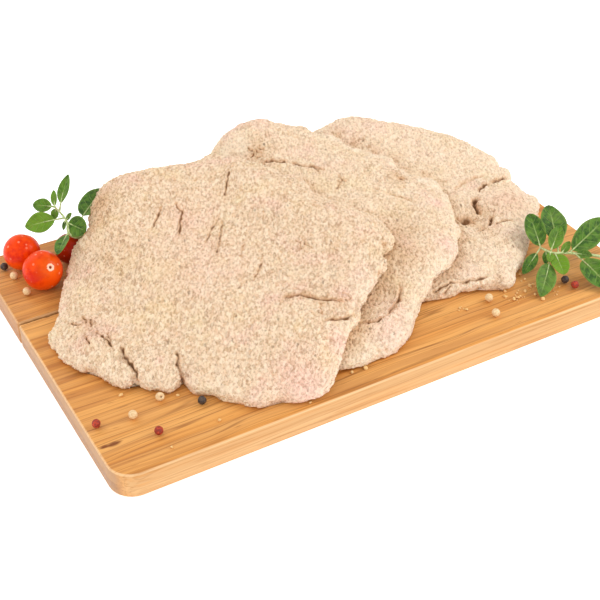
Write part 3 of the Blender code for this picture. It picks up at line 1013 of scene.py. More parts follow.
@dataclass
class Tomato:
    """A cherry tomato, slightly lobed, with the dimple and ring of its stem scar."""

    node: str
    scar: Place
    # how much the whole tomato is painted darker as shade, from 0 to 1
    ripeness: float = 0.0
    segments: int = 64
    rings: int = 44
    ring_radius: float = 0.0017

    def build(self, finish: bpy.types.Material) -> bpy.types.Object:
        """Builds and dresses the tomato.

        Args:
            finish: Its skin.

        Returns:
            The tomato.
        """
        low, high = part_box(self.node)
        centre = (low + high) / 2
        reach = (high - low) / 2
        radius = min(reach)
        axis = Vector(self.scar).normalized()
        turn = axis.to_track_quat("Z", "Y").to_matrix()
        points, scars = [], []
        for ring in range(self.rings + 1):
            share = ring / self.rings
            angle = math.pi * share**1.25
            away = angle * radius
            dimple = 0.0009 * math.exp(-((away / 0.0009) ** 2)) + 0.0006 * math.exp(-((away / 0.0032) ** 2))
            collar = 0.00022 * math.exp(-(((away - self.ring_radius) / 0.0005) ** 2))
            for side in range(self.segments):
                around = 2 * math.pi * side / self.segments
                lobes = 1 + 0.006 * math.cos(5 * around) * math.sin(angle) ** 2
                length = (radius - dimple + collar) * lobes * (1 - 0.012 * (1 + math.cos(angle)))
                along = Vector(
                    (math.sin(angle) * math.cos(around), math.sin(angle) * math.sin(around), math.cos(angle))
                )
                spot = turn @ (along * length)
                points.append(centre + Vector(spot[i] * reach[i] / radius for i in range(3)))
                scars.append(away)
        faces = []
        for ring in range(self.rings):
            for side in range(self.segments):
                after = (side + 1) % self.segments
                here, there = ring * self.segments, (ring + 1) * self.segments
                faces.append((here + side, there + side, there + after, here + after))
        name = f"{self.node}_fruit"
        mesh = from_lists(name, points, faces)
        hub = centre + Vector((turn @ Vector((0, 0, 1)))[i] * reach[i] for i in range(3))

        def aside(off: Vector) -> float:
            """Returns how far a place is from the scar, across the skin."""
            sunk = off.dot(axis)
            return (off - axis * sunk).length if sunk > -radius / 2 else radius

        marks = mesh.attributes.new("scar", "FLOAT", "POINT")
        marks.data.foreach_set("value", [aside(v.co - hub) for v in mesh.vertices])
        shade = mesh.attributes.new("ripeness", "FLOAT", "POINT")
        shade.data.foreach_set("value", [self.ripeness] * len(mesh.vertices))
        mesh.materials.append(finish)
        smooth(mesh)
        return dress(link(name, mesh), [self.node])


@dataclass
class Peppercorns:
    """All peppercorns of one kind, as one piece."""

    kind: Pepper
    count: int
    wrinkle: float
    pitch: float
    split: tuple[int, ...] = ()

    def build(self, finish: bpy.types.Material) -> bpy.types.Object:
        """Builds and dresses the peppercorns.

        Args:
            finish: Their husk.

        Returns:
            The piece.
        """
        nodes = [f"peppercorn_{self.kind.value}_{number}" for number in range(1, self.count + 1)]
        made = bmesh.new()
        hollows = []
        for number, node in enumerate(nodes, 1):
            low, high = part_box(node)
            centre, radius = (low + high) / 2, (high.x - low.x) / 2
            spread = Matrix.Translation(centre)
            fresh = bmesh.ops.create_icosphere(made, subdivisions=4, radius=radius, matrix=spread)["verts"]
            face = Vector((-0.35 + 0.2 * number % 0.5, -0.75, 0.45)).normalized()
            for vert in fresh:
                out = (vert.co - centre).normalized()
                seed = out * self.pitch + Vector((number * 7.3, 0.0, 0.0))
                dent = abs(noise.noise(seed)) * self.wrinkle + 0.02 * noise.noise(seed * 0.4)
                hollow = 0.0
                if number in self.split:
                    angle = out.angle(face)
                    hollow = math.exp(-((angle / 0.35) ** 2))
                    dent += 0.45 * hollow
                hollows.append(hollow)
                vert.co = centre + out * radius * (1 - dent)
        name = f"peppercorns_{self.kind.value}"
        mesh = bpy.data.meshes.new(name)
        made.to_mesh(mesh)
        made.free()
        mesh.attributes.new("hollow", "FLOAT", "POINT").data.foreach_set("value", hollows)
        mesh.materials.append(finish)
        smooth(mesh)
        return dress(link(name, mesh), nodes)


@dataclass(frozen=True)
class Leaf:
    """A leaf: where on the stem it starts (0 to 1), its tip, width, face and bare share; in mm.

    A small "round" makes both ends blunt, "cup" lifts its sides and "young" makes it yellower.
    """

    start: float
    tip: Place
    width: float
    face: Place
    stalk: float
    round: float = 0.62
    cup: float = 0.22
    young: float = 0.0


@dataclass
class Sprig:
    """A sprig of oregano: a stem through some points over the board, in mm, and its leaves."""

    node: str
    stem: tuple[Place, ...]
    radius: float
    leaves: tuple[Leaf, ...]
    rows: int = 26
    half_columns: int = 6
    thickness: float = 0.00032

    @staticmethod
    def on_board(place: Place) -> Vector:
        """Turns a place in millimetres over the board into one in the model's frame."""
        return Vector((place[0] * MM, place[1] * MM, place[2] * MM + BOARD_TOP))

    def stem_point(self, share: float) -> Vector:
        """Finds a point on the stem.

        Args:
            share: How far along it, from 0 to 1.

        Returns:
            The point, on a smooth curve through the stem's places.
        """
        spots = [self.on_board(place) for place in self.stem]
        spots = [spots[0] * 2 - spots[1], *spots, spots[-1] * 2 - spots[-2]]
        whole = min(max(share, 0.0), 1.0) * (len(self.stem) - 1)
        first = min(int(whole), len(self.stem) - 2)
        t = whole - first
        a, b, c, d = spots[first : first + 4]
        return 0.5 * (2 * b + (c - a) * t + (2 * a - 5 * b + 4 * c - d) * t**2 + (3 * b - a - 3 * c + d) * t**3)

    def midline(self, leaf: Leaf, share: float) -> Vector:
        """Finds a point on the middle line of a leaf, from the stem to its tip.

        Args:
            leaf: The leaf.
            share: How far along it, from 0 to 1.

        Returns:
            The point.
        """
        start, tip = self.stem_point(leaf.start), self.on_board(leaf.tip)
        lift = 0.05 * (tip - start).length * math.sin(math.pi * share)
        return start.lerp(tip, share) + Vector(leaf.face).normalized() * lift

    def blade(self, leaf: Leaf, number: int) -> tuple[list, list, list]:
        """Builds the blade of a leaf as an open sheet.

        Args:
            leaf: The leaf.
            number: Its number, which varies its waves.

        Returns:
            Its points, its faces and each face's UV corners.
        """
        start, tip = self.stem_point(leaf.start), self.on_board(leaf.tip)
        along = (tip - start).normalized()
        face = Vector(leaf.face).normalized()
        beside = along.cross(face).normalized()
        up = beside.cross(along).normalized()
        if up.dot(face) < 0:
            up = -up
        across = range(-self.half_columns, self.half_columns + 1)
        points, grid = [], []
        for row in range(self.rows + 1):
            v = row / self.rows
            share = leaf.stalk + (1 - leaf.stalk) * v
            half = leaf.width * MM / 2 * math.sin(math.pi * min(v**0.9, 1.0)) ** leaf.round if 0 < v < 1 else 0.0
            middle = self.midline(leaf, share)
            line = []
            for column in across:
                u = column / self.half_columns
                rib = abs(((v - abs(u) * 0.22) * 5.0) % 1.0 - 0.5)
                puff = 0.09 * half * math.exp(-((rib / 0.16) ** 2)) * (1 - abs(u)) * -1
                groove = -0.0004 * math.exp(-((u / 0.12) ** 2)) * min(1.0, half / 0.002)
                cup = leaf.cup * half * (abs(u) ** 1.6)
                wave = 0.06 * half * abs(u) ** 2 * math.sin(9 * v + number * 1.7 + (2.1 if u > 0 else 0.0))
                points.append(middle + beside * half * u + up * (cup + puff + groove + wave))
                line.append((len(points) - 1, (0.5 + u / 2, v)))
            grid.append(line)
        faces, marks = [], []
        for lower, upper in zip(grid, grid[1:]):
            for left in range(len(lower) - 1):
                corners = (lower[left], lower[left + 1], upper[left + 1], upper[left])
                faces.append(tuple(corner[0] for corner in corners))
                marks.append([corner[1] for corner in corners])
        return points, faces, marks

    def blades(self, finish: bpy.types.Material) -> bpy.types.Object:
        """Builds all blades of the sprig.

        Args:
            finish: The leaf's finish.

        Returns:
            The blades, with their thickness.
        """
        points, faces, marks, ages = [], [], [], []
        for number, leaf in enumerate(self.leaves):
            fresh, sheet, corners = self.blade(leaf, number)
            ages += [leaf.young] * len(fresh)
            faces += [tuple(index + len(points) for index in face) for face in sheet]
            points += fresh
            marks += corners
        name = f"{self.node}_leaves"
        mesh = bpy.data.meshes.new(name)
        mesh.from_pydata([tuple(p) for p in points], [], faces)
        layer = mesh.uv_layers.new(name="leaf")
        layer.data.foreach_set("uv", [part for corners in marks for mark in corners for part in mark])
        mesh.attributes.new("young", "FLOAT", "POINT").data.foreach_set("value", ages)
        made = bmesh.new()
        made.from_mesh(mesh)
        bmesh.ops.remove_doubles(made, verts=made.verts, dist=1e-6)
        bmesh.ops.dissolve_degenerate(made, edges=made.edges, dist=1e-7)
        made.to_mesh(mesh)
        made.free()
        mesh.materials.append(finish)
        smooth(mesh)
        raw = link(f"{name}_sheet", mesh)
        shell = raw.modifiers.new("thickness", "SOLIDIFY")
        shell.thickness, shell.offset = self.thickness, 0.0
        piece = plain_copy(raw, name)
        bpy.data.objects.remove(raw)
        return piece

    def build(self, leaf_finish: bpy.types.Material, stem_finish: bpy.types.Material) -> None:
        """Builds and dresses the sprig.

        Args:
            leaf_finish: The finish of its blades.
            stem_finish: The finish of its stem and stalks.
        """
        points, faces = tube_rings(
            [self.stem_point(i / 40) for i in range(41)],
            [self.radius * MM * (1.05 - 0.35 * i / 40 + 0.12 * math.sin(i * 0.9) ** 8) for i in range(41)],
            12,
        )
        for leaf in self.leaves:
            path = [self.midline(leaf, -0.01 + (leaf.stalk + 0.30) * i / 12) for i in range(13)]
            widths = [0.00066 * (1 - 0.72 * (i / 12) ** 1.2) for i in range(13)]
            fresh, skin = tube_rings(path, widths, 8)
            faces += [tuple(index + len(points) for index in face) for face in skin]
            points += fresh
        name = f"{self.node}_stem"
        stem = link(name, from_lists(name, points, faces))
        stem.data.materials.append(stem_finish)
        smooth(stem.data, 60)
        dress(self.blades(leaf_finish), [self.node])
        dress(stem, [self.node])


# ---------------------------------------------------------------- the meat


@dataclass(frozen=True)
class Crease:
    """A crack in the coat along a path on the board: its depth, half width and raised lips, in mm."""

    path: tuple[Point, ...]
    depth: float
    width: float = 0.8
    lips: float = 0.3
    # raw: how dark the crack is painted, as shade in it
    raw: float = 0.6
    step: float = 0.0


@dataclass(frozen=True)
class Dent:
    """A round hollow in the meat, or a swelling where its depth is negative; in mm."""

    at: Point
    radius: float
    depth: float
    # raw: how dark the hollow is painted, as shade in it
    raw: float = 0.0


@dataclass(frozen=True)
class Nick:
    """A cut that runs into the rim: its mouth, the way it runs in degrees, depth and half width, in mm."""

    mouth: Point
    way: float
    depth: float
    width: float
    # raw: how dark the cut is painted, as shade in it
    raw: float = 0.8


@dataclass(frozen=True)
class Bulge:
    """A part of the rim pushed out or drawn in: its middle, its push along X, Y and Z and its reach, in mm."""

    at: Point
    push: Place
    radius: float


class StainAndLight(Enum):
    """What tints the coat in a place: pink where the meat shows through, brown that is mostly painted shadow with some
    browner crumbs, and a painted highlight along the rim.
    """

    PINK = 0
    BROWN = 1
    RIM_HIGHLIGHT = 2


@dataclass(frozen=True)
class Patch:
    """A patch of the coat with another colour, in mm."""

    at: Point
    radius: float
    strength: float
    stain: StainAndLight


class CrumbRelief(GeometryTree):
    """Raises the grains of the coat over a mesh, its lumps and the ragged rim, and keeps the old places.

    The mesh carries "coat" and "rim", from 0 to 1; "core" is added, the places before the coat.
    """

    def __init__(self) -> None:
        """Builds the tree."""
        super().__init__("crumb_relief")
        grain, relief = self.input("Grain"), self.input("Relief")
        lump, sway = self.input("Lump Height"), self.input("Sway Height")
        ragged = self.input("Ragged Height")
        self.seed = self.input("Seed")
        self.place = self.value("GeometryNodeInputPosition")
        where = self.crumbled(self.place)
        crown = self.borders(where, 1 / grain).mapped(0.0, 0.3)
        sand = self.noise(where, 1.2 / grain, 1.0)
        rise = relief * ((crown - 0.7) * 0.35 + (sand - 0.5) * 2.8)
        rise = rise + (self.waves(130.0, 2.0) - 0.5) * lump + (self.waves(42.0, 1.0) - 0.5) * sway
        rise = rise * self.carried("coat") + (self.waves(240.0, 3.0) - 0.5) * ragged * self.carried("rim")
        normal = self.value("GeometryNodeInputNormal")
        offset = self.value("ShaderNodeVectorMath", {"operation": "SCALE"}, {0: normal, "Scale": rise})
        kept = self.value(
            "GeometryNodeStoreNamedAttribute",
            {"data_type": "FLOAT_VECTOR", "domain": "POINT"},
            {"Geometry": self.pick(self.entry.outputs, 0), "Name": "core", "Value": self.place},
        )
        self.close(self.value("GeometryNodeSetPosition", {}, {"Geometry": kept, "Offset": offset}))

    def carried(self, name: str) -> Value:
        """Returns a number that the mesh carries."""
        return self.value("GeometryNodeInputNamedAttribute", {"data_type": "FLOAT"}, {"Name": name}, "Attribute")

    def waves(self, scale: float, detail: float) -> Value:
        """Adds a noise texture over the mesh that changes with the seed.

        Args:
            scale: How many of its blobs fit in a metre.
            detail: How many finer octaves are added.

        Returns:
            The noise, around one half.
        """
        numbers = {"Vector": self.place, "W": self.seed, "Scale": scale, "Detail": detail}
        return self.value("ShaderNodeTexNoise", {"noise_dimensions": "4D"}, numbers)


class CrumbScatter(GeometryTree):
    """Scatters loose grains over the coat of a mesh, where "coat" says."""

    def __init__(self) -> None:
        """Builds the tree."""
        super().__init__("crumb_scatter")
        density, seed = self.input("Density"), self.input("Seed", "NodeSocketInt")
        small, large = self.input("Smallest"), self.input("Largest")
        coat = self.value("GeometryNodeInputNamedAttribute", {"data_type": "FLOAT"}, {"Name": "coat"}, "Attribute")
        chosen = self.value("FunctionNodeCompare", {"data_type": "FLOAT", "operation": "GREATER_THAN"}, {0: coat, 1: 0.6})
        spots = self.value(
            "GeometryNodeDistributePointsOnFaces",
            {},
            {"Mesh": self.pick(self.entry.outputs, 0), "Selection": chosen, "Density": density, "Seed": seed},
            "Points",
        )
        grain = self.value("GeometryNodeMeshIcoSphere", {}, {"Radius": 1.0, "Subdivisions": 1}, "Mesh")
        size = self.value(
            "FunctionNodeRandomValue",
            {"data_type": "FLOAT"},
            {"Min_001": small, "Max_001": large, "Seed": seed},
            "Value_001",
        )
        shape = self.value(
            "FunctionNodeRandomValue",
            {"data_type": "FLOAT_VECTOR"},
            {"Min": (0.6, 0.6, 0.5), "Max": (1.2, 1.1, 0.9), "Seed": seed},
            "Value",
        )
        spin = self.value(
            "FunctionNodeRandomValue",
            {"data_type": "FLOAT_VECTOR"},
            {"Min": (0.0, 0.0, 0.0), "Max": (6.28, 6.28, 6.28), "Seed": seed},
            "Value",
        )
        scale = self.value("ShaderNodeVectorMath", {"operation": "SCALE"}, {0: shape, "Scale": size})
        placed = self.value(
            "GeometryNodeInstanceOnPoints",
            {},
            {"Points": spots, "Instance": grain, "Rotation": spin, "Scale": scale},
        )
        self.close(placed)


@dataclass
class Schnitzel:
    """A breaded cut of meat: its solid made fine, with its cracks, nicks and hollows, and its coat."""

    node: str
    seed: int
    creases: tuple[Crease, ...] = ()
    dents: tuple[Dent, ...] = ()
    nicks: tuple[Nick, ...] = ()
    patches: tuple[Patch, ...] = ()
    bulges: tuple[Bulge, ...] = ()
    cover: str | None = None
    # these two: how far, in mm, and how strongly the painted shadow of the covering cut darkens this cut
    shade_reach: float = 8.0
    dark: float = 0.5
    # these three: the reach in mm and strength of the painted highlight along the rim, and its share over the whole cut
    rim_width: float = 6.0
    rim: float = 0.65
    pale: float = 0.0
    voxel: float = 0.00071
    most_faces: int = 188_000
    grain: float = 0.0018
    relief: float = 0.0008
    lump: float = 0.0011
    sway: float = 0.0016
    ragged: float = 0.0020
    loose: float = 64_000.0

    def fine_copy(self) -> bpy.types.Object:
        """Copies the solid, rounds its facets and gives it a fine even mesh, coarser underneath."""
        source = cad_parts[self.node]
        mesh = source.data.copy()
        made = bmesh.new()
        made.from_mesh(mesh)
        bmesh.ops.remove_doubles(made, verts=made.verts, dist=1e-6)
        bmesh.ops.recalc_face_normals(made, faces=made.faces)
        made.to_mesh(mesh)
        made.free()
        mesh.materials.clear()
        raw = link(f"{self.node}_raw", mesh)
        rounded = raw.modifiers.new("rounded", "SUBSURF")
        rounded.levels = rounded.render_levels = 2
        self.pass_through_points(raw)
        even = raw.modifiers.new("even", "REMESH")
        even.mode, even.voxel_size = "VOXEL", self.voxel
        fine = plain_copy(raw, f"{self.node}_fine")
        bpy.data.objects.remove(raw)
        normals = np.empty(len(fine.data.vertices) * 3, np.float32)
        fine.data.vertices.foreach_get("normal", normals)
        under = np.nonzero(normals.reshape(-1, 3)[:, 2] < -0.55)[0].tolist()
        faces = sum(len(face.vertices) - 2 for face in fine.data.polygons)
        if faces > self.most_faces:
            group = fine.vertex_groups.new(name="under")
            group.add(under, 1.0, "REPLACE")
            fewer = fine.modifiers.new("fewer", "DECIMATE")
            fewer.ratio = self.most_faces / faces
            fewer.vertex_group = "under"
            thin = plain_copy(fine, f"{self.node}_thin")
            bpy.data.objects.remove(fine)
            thin.vertex_groups.clear()
            fine = thin
        left = sum(len(face.vertices) - 2 for face in fine.data.polygons)
        LOG.info("%s: %d triangles before, %d after", self.node, faces, left)
        return fine

    @staticmethod
    def pass_through_points(raw: bpy.types.Object) -> None:
        """Swells a mesh until its rounded surface passes through its own points, so that it keeps its size.

        Args:
            raw: The object, with its rounding modifier.
        """
        count = len(raw.data.vertices)
        wanted = np.empty(count * 3, np.float32)
        raw.data.vertices.foreach_get("co", wanted)
        held = wanted.copy()
        for _ in range(3):
            bpy.context.view_layer.update()
            seen = raw.evaluated_get(bpy.context.evaluated_depsgraph_get())
            rounded = np.empty(len(seen.data.vertices) * 3, np.float32)
            seen.data.vertices.foreach_get("co", rounded)
            held += wanted - rounded[: count * 3]
            raw.data.vertices.foreach_set("co", held)
            raw.data.update()

    @staticmethod
    def along(points: np.ndarray, path: Sequence[Point]) -> tuple[np.ndarray, np.ndarray, np.ndarray]:
        """Measures points against a path.

        Args:
            points: The points, in mm, one to a row.
            path: The path's own points, in mm.

        Returns:
            How far each is from the path, how far along it (0 to 1), and its side (1 is left).
        """
        spots = np.array(path, float)
        lengths = np.linalg.norm(np.diff(spots, axis=0), axis=1)
        total, before = lengths.sum(), 0.0
        nearest = np.full(len(points), 1e9)
        share, side = np.zeros(len(points)), np.ones(len(points))
        for start, end, length in zip(spots[:-1], spots[1:], lengths):
            way = (end - start) / length
            off = points - start
            t = np.clip(off @ way, 0, length)
            gap = np.linalg.norm(off - t[:, None] * way, axis=1)
            closer = gap < nearest
            nearest[closer] = gap[closer]
            share[closer] = ((before + t) / total)[closer]
            side[closer] = np.sign(way[0] * off[:, 1] - way[1] * off[:, 0])[closer]
            before += length
        return nearest, share, side

    def near_rim(self, flat: np.ndarray, rises: np.ndarray) -> np.ndarray:
        """Tells how close points lie to the rim of the cut, seen from above.

        Args:
            flat: The points, in mm, one to a row.
            rises: How far the surface faces up at each of them.

        Returns:
            A number from 0 to 1 for each.
        """
        sides = flat[np.abs(rises) < 0.2][::2]
        tree = KDTree(len(sides))
        for number, (x, y) in enumerate(sides.tolist()):
            tree.insert((x, y, 0.0), number)
        tree.balance()
        gaps = np.array([tree.find((x, y, 0.0))[2] for x, y in flat.tolist()])
        return np.exp(-((gaps / self.rim_width) ** 2))

    def near_cover(self, flat: np.ndarray) -> np.ndarray:
        """Tells how close points lie to the cut that covers a part of this one, seen from above, for the painted shadow
        along its edge.

        Args:
            flat: The points, in mm, one to a row.

        Returns:
            A number from 0 to 1 for each.
        """
        if self.cover is None:
            return np.zeros(len(flat))
        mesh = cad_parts[self.cover].data
        corners = [(vert.co.x / MM, vert.co.y / MM, 0.0) for vert in mesh.vertices]
        shadow = BVHTree.FromPolygons(corners, [tuple(face.vertices) for face in mesh.polygons])
        reach = 2.2 * self.shade_reach
        found = (shadow.find_nearest(Vector((x, y, 0.0)), reach)[3] for x, y in flat.tolist())
        gaps = np.array([reach if gap is None else gap for gap in found])
        return np.clip(np.exp(-((gaps / self.shade_reach) ** 2)) - 0.01, 0, 1)

    def shape(self, piece: bpy.types.Object) -> None:
        """Cuts the nicks, cracks and hollows into the fine mesh and stores where the coat changes.

        Args:
            piece: The fine mesh.
        """
        mesh = piece.data
        count = len(mesh.vertices)
        places, normals = np.empty(count * 3, np.float32), np.empty(count * 3, np.float32)
        mesh.vertices.foreach_get("co", places)
        mesh.vertices.foreach_get("normal", normals)
        spots = places.reshape(-1, 3).astype(float) / MM
        normals = normals.reshape(-1, 3).astype(float)
        flat = spots[:, :2].copy()
        top = np.clip((normals[:, 2] + 0.2) / 0.5, 0, 1)
        rim = self.near_rim(flat, normals[:, 2]) * np.clip((normals[:, 2] + 0.9) / 0.4, 0, 1)
        stain = np.zeros((count, 3))
        # painted shadow along the edge of the covering cut, in the brown share
        stain[:, 1] = self.dark * top * self.near_cover(flat)
        # painted highlight along the rim, in the rim share, with the pale share over the whole cut
        stain[:, 2] = self.pale + (self.rim - self.pale) * rim
        wobble = [np.sin(flat[:, 1 - k] / (0.9 + 0.2 * k) + 1.3 * np.sin(flat[:, k] / 1.6)) for k in (0, 1)]
        bent = flat + 0.32 * np.stack(wobble, 1)
        for bulge in self.bulges:
            share = np.exp(-((np.linalg.norm(flat - np.array(bulge.at), axis=1) / bulge.radius) ** 2))
            spots += share[:, None] * np.array(bulge.push) * np.stack([np.ones(count), np.ones(count), top], 1)
        # hollow: where cracks, pits and nicks are painted dark as shade; the coat and its relief thin out there too
        hollow = np.zeros(count)
        push = np.zeros(count)
        for crease in self.creases:
            away, share, side = self.along(bent, crease.path)
            fade = np.clip(share / 0.18, 0, 1) * np.clip((1 - share) / 0.18, 0, 1)
            fade *= 0.9 + 0.1 * np.sin(share * 19.0 + crease.path[0][0])
            spread = crease.width * (0.9 + 0.25 * np.sin(share * 31.0 + crease.path[0][1]))
            groove = np.exp(-((away / np.maximum(spread, 0.9)) ** 2)) * fade * top
            line = np.exp(-((away / (1.5 * spread)) ** 2)) * fade * top
            lips = np.exp(-(((away - 2.2 * crease.width) / (1.3 * crease.width)) ** 2)) * fade * top
            push += crease.lips * lips - crease.depth * groove
            push += crease.step * side * np.exp(-((away / 5.0) ** 2)) * fade * top * (away > 0.05)
            hollow = np.maximum(hollow, (0.5 + 0.5 * crease.raw) * line)
        for dent in self.dents:
            away = np.linalg.norm(flat - np.array(dent.at), axis=1)
            bowl = np.exp(-((away / dent.radius) ** 2)) * top
            push -= dent.depth * bowl
            hollow = np.maximum(hollow, dent.raw * bowl)
        for patch in self.patches:
            away = np.linalg.norm(flat - np.array(patch.at), axis=1)
            spread = patch.strength * np.exp(-((away / patch.radius) ** 2))
            stain[:, patch.stain.value] = np.maximum(stain[:, patch.stain.value], spread)
        spots += normals * push[:, None]
        for nick in self.nicks:
            way = np.array((math.cos(math.radians(nick.way)), math.sin(math.radians(nick.way))))
            off = flat - np.array(nick.mouth)
            inward, aside = off @ way, off @ np.array((-way[1], way[0]))
            reach = nick.depth * 2.4
            near = np.exp(-((aside / nick.width) ** 2)) * (inward > -4) * (inward < reach)
            pull = nick.depth * near * np.clip(1 - np.clip(inward, 0, None) / reach, 0, 1) ** 1.4
            spots[:, :2] += pull[:, None] * way
            hollow = np.maximum(hollow, nick.raw * near**3 * np.clip(1.6 - inward / nick.depth, 0, 1) * (pull > 0.3))
        mesh.vertices.foreach_set("co", (spots * MM).astype(np.float32).ravel())
        coat = np.clip((normals[:, 2] + 0.95) / 0.4, 0, 1) * (1 - np.clip(1.6 * hollow - 0.4, 0, 1))
        mesh.attributes.new("coat", "FLOAT", "POINT").data.foreach_set("value", coat)
        mesh.attributes.new("rim", "FLOAT", "POINT").data.foreach_set("value", rim)
        mesh.attributes.new("hollow", "FLOAT", "POINT").data.foreach_set("value", hollow)
        mesh.attributes.new("stain", "FLOAT_VECTOR", "POINT").data.foreach_set("vector", stain.ravel())
        mesh.update()

    def build(
        self, relief: CrumbRelief, scatter: CrumbScatter, finish: bpy.types.Material
    ) -> bpy.types.Object:
        """Builds and dresses the cut, and scatters grains on it.

        Args:
            relief: The tree that raises the coat.
            scatter: The tree that scatters loose grains.
            finish: The breadcrumbs.

        Returns:
            The grains.
        """
        fine = self.fine_copy()
        self.shape(fine)
        values = {"Grain": self.grain, "Relief": self.relief, "Lump Height": self.lump}
        values |= {"Sway Height": self.sway, "Ragged Height": self.ragged}
        values |= {"Seed": float(self.seed), "Material": finish}
        cut = relief.run(fine, f"{self.node}_coated", values)
        smooth(cut.data)
        bpy.data.objects.remove(fine)
        values = {"Density": self.loose, "Seed": self.seed, "Smallest": 0.00028, "Largest": 0.00062}
        grains = scatter.run(cut, f"{self.node}_grains", {**values, "Material": finish})
        dress(cut, [self.node])
        return grains


@dataclass
class LooseCrumbs:
    """All loose breadcrumbs: the grains on the meat, and crumbs that fell on the board; in mm."""

    known: tuple[Place, ...]
    spill: tuple[Place, ...]
    brown_share: float = 0.0
    seed: int = 5

    def build(self, grains: list[bpy.types.Object], finish: bpy.types.Material) -> bpy.types.Object:
        """Builds the fallen crumbs, joins them with the grains and dresses them.

        Args:
            grains: The grains on the meat.
            finish: The breadcrumbs.

        Returns:
            The piece.
        """
        drawn = random.Random(self.seed)
        spots = list(self.known)
        for x, y, reach in self.spill:
            for _ in range(int(3 + 1.3 * reach)):
                angle, away = drawn.uniform(0, 6.28), reach * drawn.random() ** 0.7
                size = 0.3 + 0.7 * drawn.random() ** 2
                spots.append((x + away * math.cos(angle), y + away * math.sin(angle) * 0.7, size))
        made = bmesh.new()
        for x, y, size in spots:
            spin = Matrix.Rotation(drawn.uniform(0, 6.28), 4, Vector((drawn.random(), 1.0, drawn.random())))
            stretch = Matrix.Diagonal((drawn.uniform(0.8, 1.4), drawn.uniform(0.7, 1.1), 0.8, 1.0))
            where = Matrix.Translation((x * MM, y * MM, BOARD_TOP + 0.62 * size * MM))
            fresh = bmesh.ops.create_icosphere(
                made, subdivisions=2, radius=size * MM, matrix=where @ spin @ stretch
            )["verts"]
            for vert in fresh:
                vert.co += Vector((0, 0, 1)) * noise.noise(vert.co / MM * 1.7) * size * MM * 0.3
                vert.co.z = max(vert.co.z, BOARD_TOP - 0.0001)
        name = "crumbs_loose"
        mesh = bpy.data.meshes.new(name)
        made.to_mesh(mesh)
        made.free()
        mesh.materials.append(finish)
        corners = np.empty(len(mesh.vertices) * 3, np.float32)
        mesh.vertices.foreach_get("co", corners)
        mesh.attributes.new("core", "FLOAT_VECTOR", "POINT").data.foreach_set("vector", corners)
        # shares of pink, brown (painted shadow) and the pale rim coat; the rim share makes the fallen crumbs paler and
        # smoother
        tint = [0.0, self.brown_share, 0.6] * len(mesh.vertices)
        mesh.attributes.new("stain", "FLOAT_VECTOR", "POINT").data.foreach_set("vector", tint)
        mesh.attributes.new("fallen", "FLOAT", "POINT").data.foreach_set("value", [1.0] * len(mesh.vertices))
        piece = link(name, mesh)
        with bpy.context.temp_override(active_object=piece, selected_editable_objects=[piece, *grains]):
            bpy.ops.object.join()
        smooth(piece.data, 50)
        return dress(piece)


# ---------------------------------------------------------------- the studio


@dataclass
class Studio:
    """A pale floor, soft light and the camera."""

    eye: Place = (-0.3097, -0.5326, 0.4513)
    target: Place = (-0.0199, -0.0238, 0.016)
    lens: float = 72.91
    world: float = 0.90

    def lamp(self, name: str, place: Place, size: float, power: float, colour: Place = (1.0, 1.0, 1.0)) -> None:
        """Adds a soft light that looks at the middle of the board.

        Args:
            name: Its name.
            place: Where it stands.
            size: The side of its square.
            power: Its power in watts.
            colour: Its colour.
        """
        data = bpy.data.lights.new(name, "AREA")
        data.shape, data.size, data.energy, data.color = "SQUARE", size, power, colour
        made = bpy.data.objects.new(name, data)
        bpy.context.scene.collection.objects.link(made)
        made.location = place
        made.rotation_euler = (Vector(self.target) - Vector(place)).to_track_quat("-Z", "Y").to_euler()

    def build(self, finish: bpy.types.Material) -> None:
        """Builds the floor, the lights and the camera.

        Args:
            finish: The floor's finish.
        """
        floor = link("floor", from_lists("floor", [(-6, -6, 0), (6, -6, 0), (6, 6, 0), (-6, 6, 0)], [(0, 1, 2, 3)]))
        floor.data.materials.append(finish)
        world = bpy.data.worlds.new("studio")
        world.use_nodes = True
        sky = Graph(world.node_tree)
        sky.tree.nodes.clear()
        glow = sky.node("ShaderNodeBackground", {}, {"Color": (1.0, 1.0, 1.0, 1.0), "Strength": self.world})
        sky.node("ShaderNodeOutputWorld", {}, {"Surface": glow.outputs[0]})
        scene = bpy.context.scene
        scene.world = world
        scene.view_settings.view_transform = "Standard"
        self.lamp("key_light", (0.80, -0.40, 0.70), 0.45, 3.8)
        self.lamp("left_light", (-0.90, -0.10, 0.60), 0.8, 1.7)
        self.lamp("front_light", (-0.10, -1.00, 0.45), 0.8, 1.3)
        self.lamp("rear_light", (-0.50, 0.90, 0.70), 0.8, 2.2)
        data = bpy.data.cameras.new("camera")
        data.lens, data.sensor_width, data.clip_start = self.lens, 36.0, 0.01
        camera = bpy.data.objects.new("camera", data)
        scene.collection.objects.link(camera)
        camera.location = self.eye
        camera.rotation_euler = (Vector(self.target) - Vector(self.eye)).to_track_quat("-Z", "Y").to_euler()
        scene.camera = camera


# ---------------------------------------------------------------- what lies on the board

TOMATOES = (
    Tomato("tomato_front", (0.24, -0.83, 0.64)),
    Tomato("tomato_left", (0.45, 0.55, 0.70)),
    # the rear tomato is painted in shade
    Tomato("tomato_rear", (0.30, 0.20, 0.93), 1.0),
)

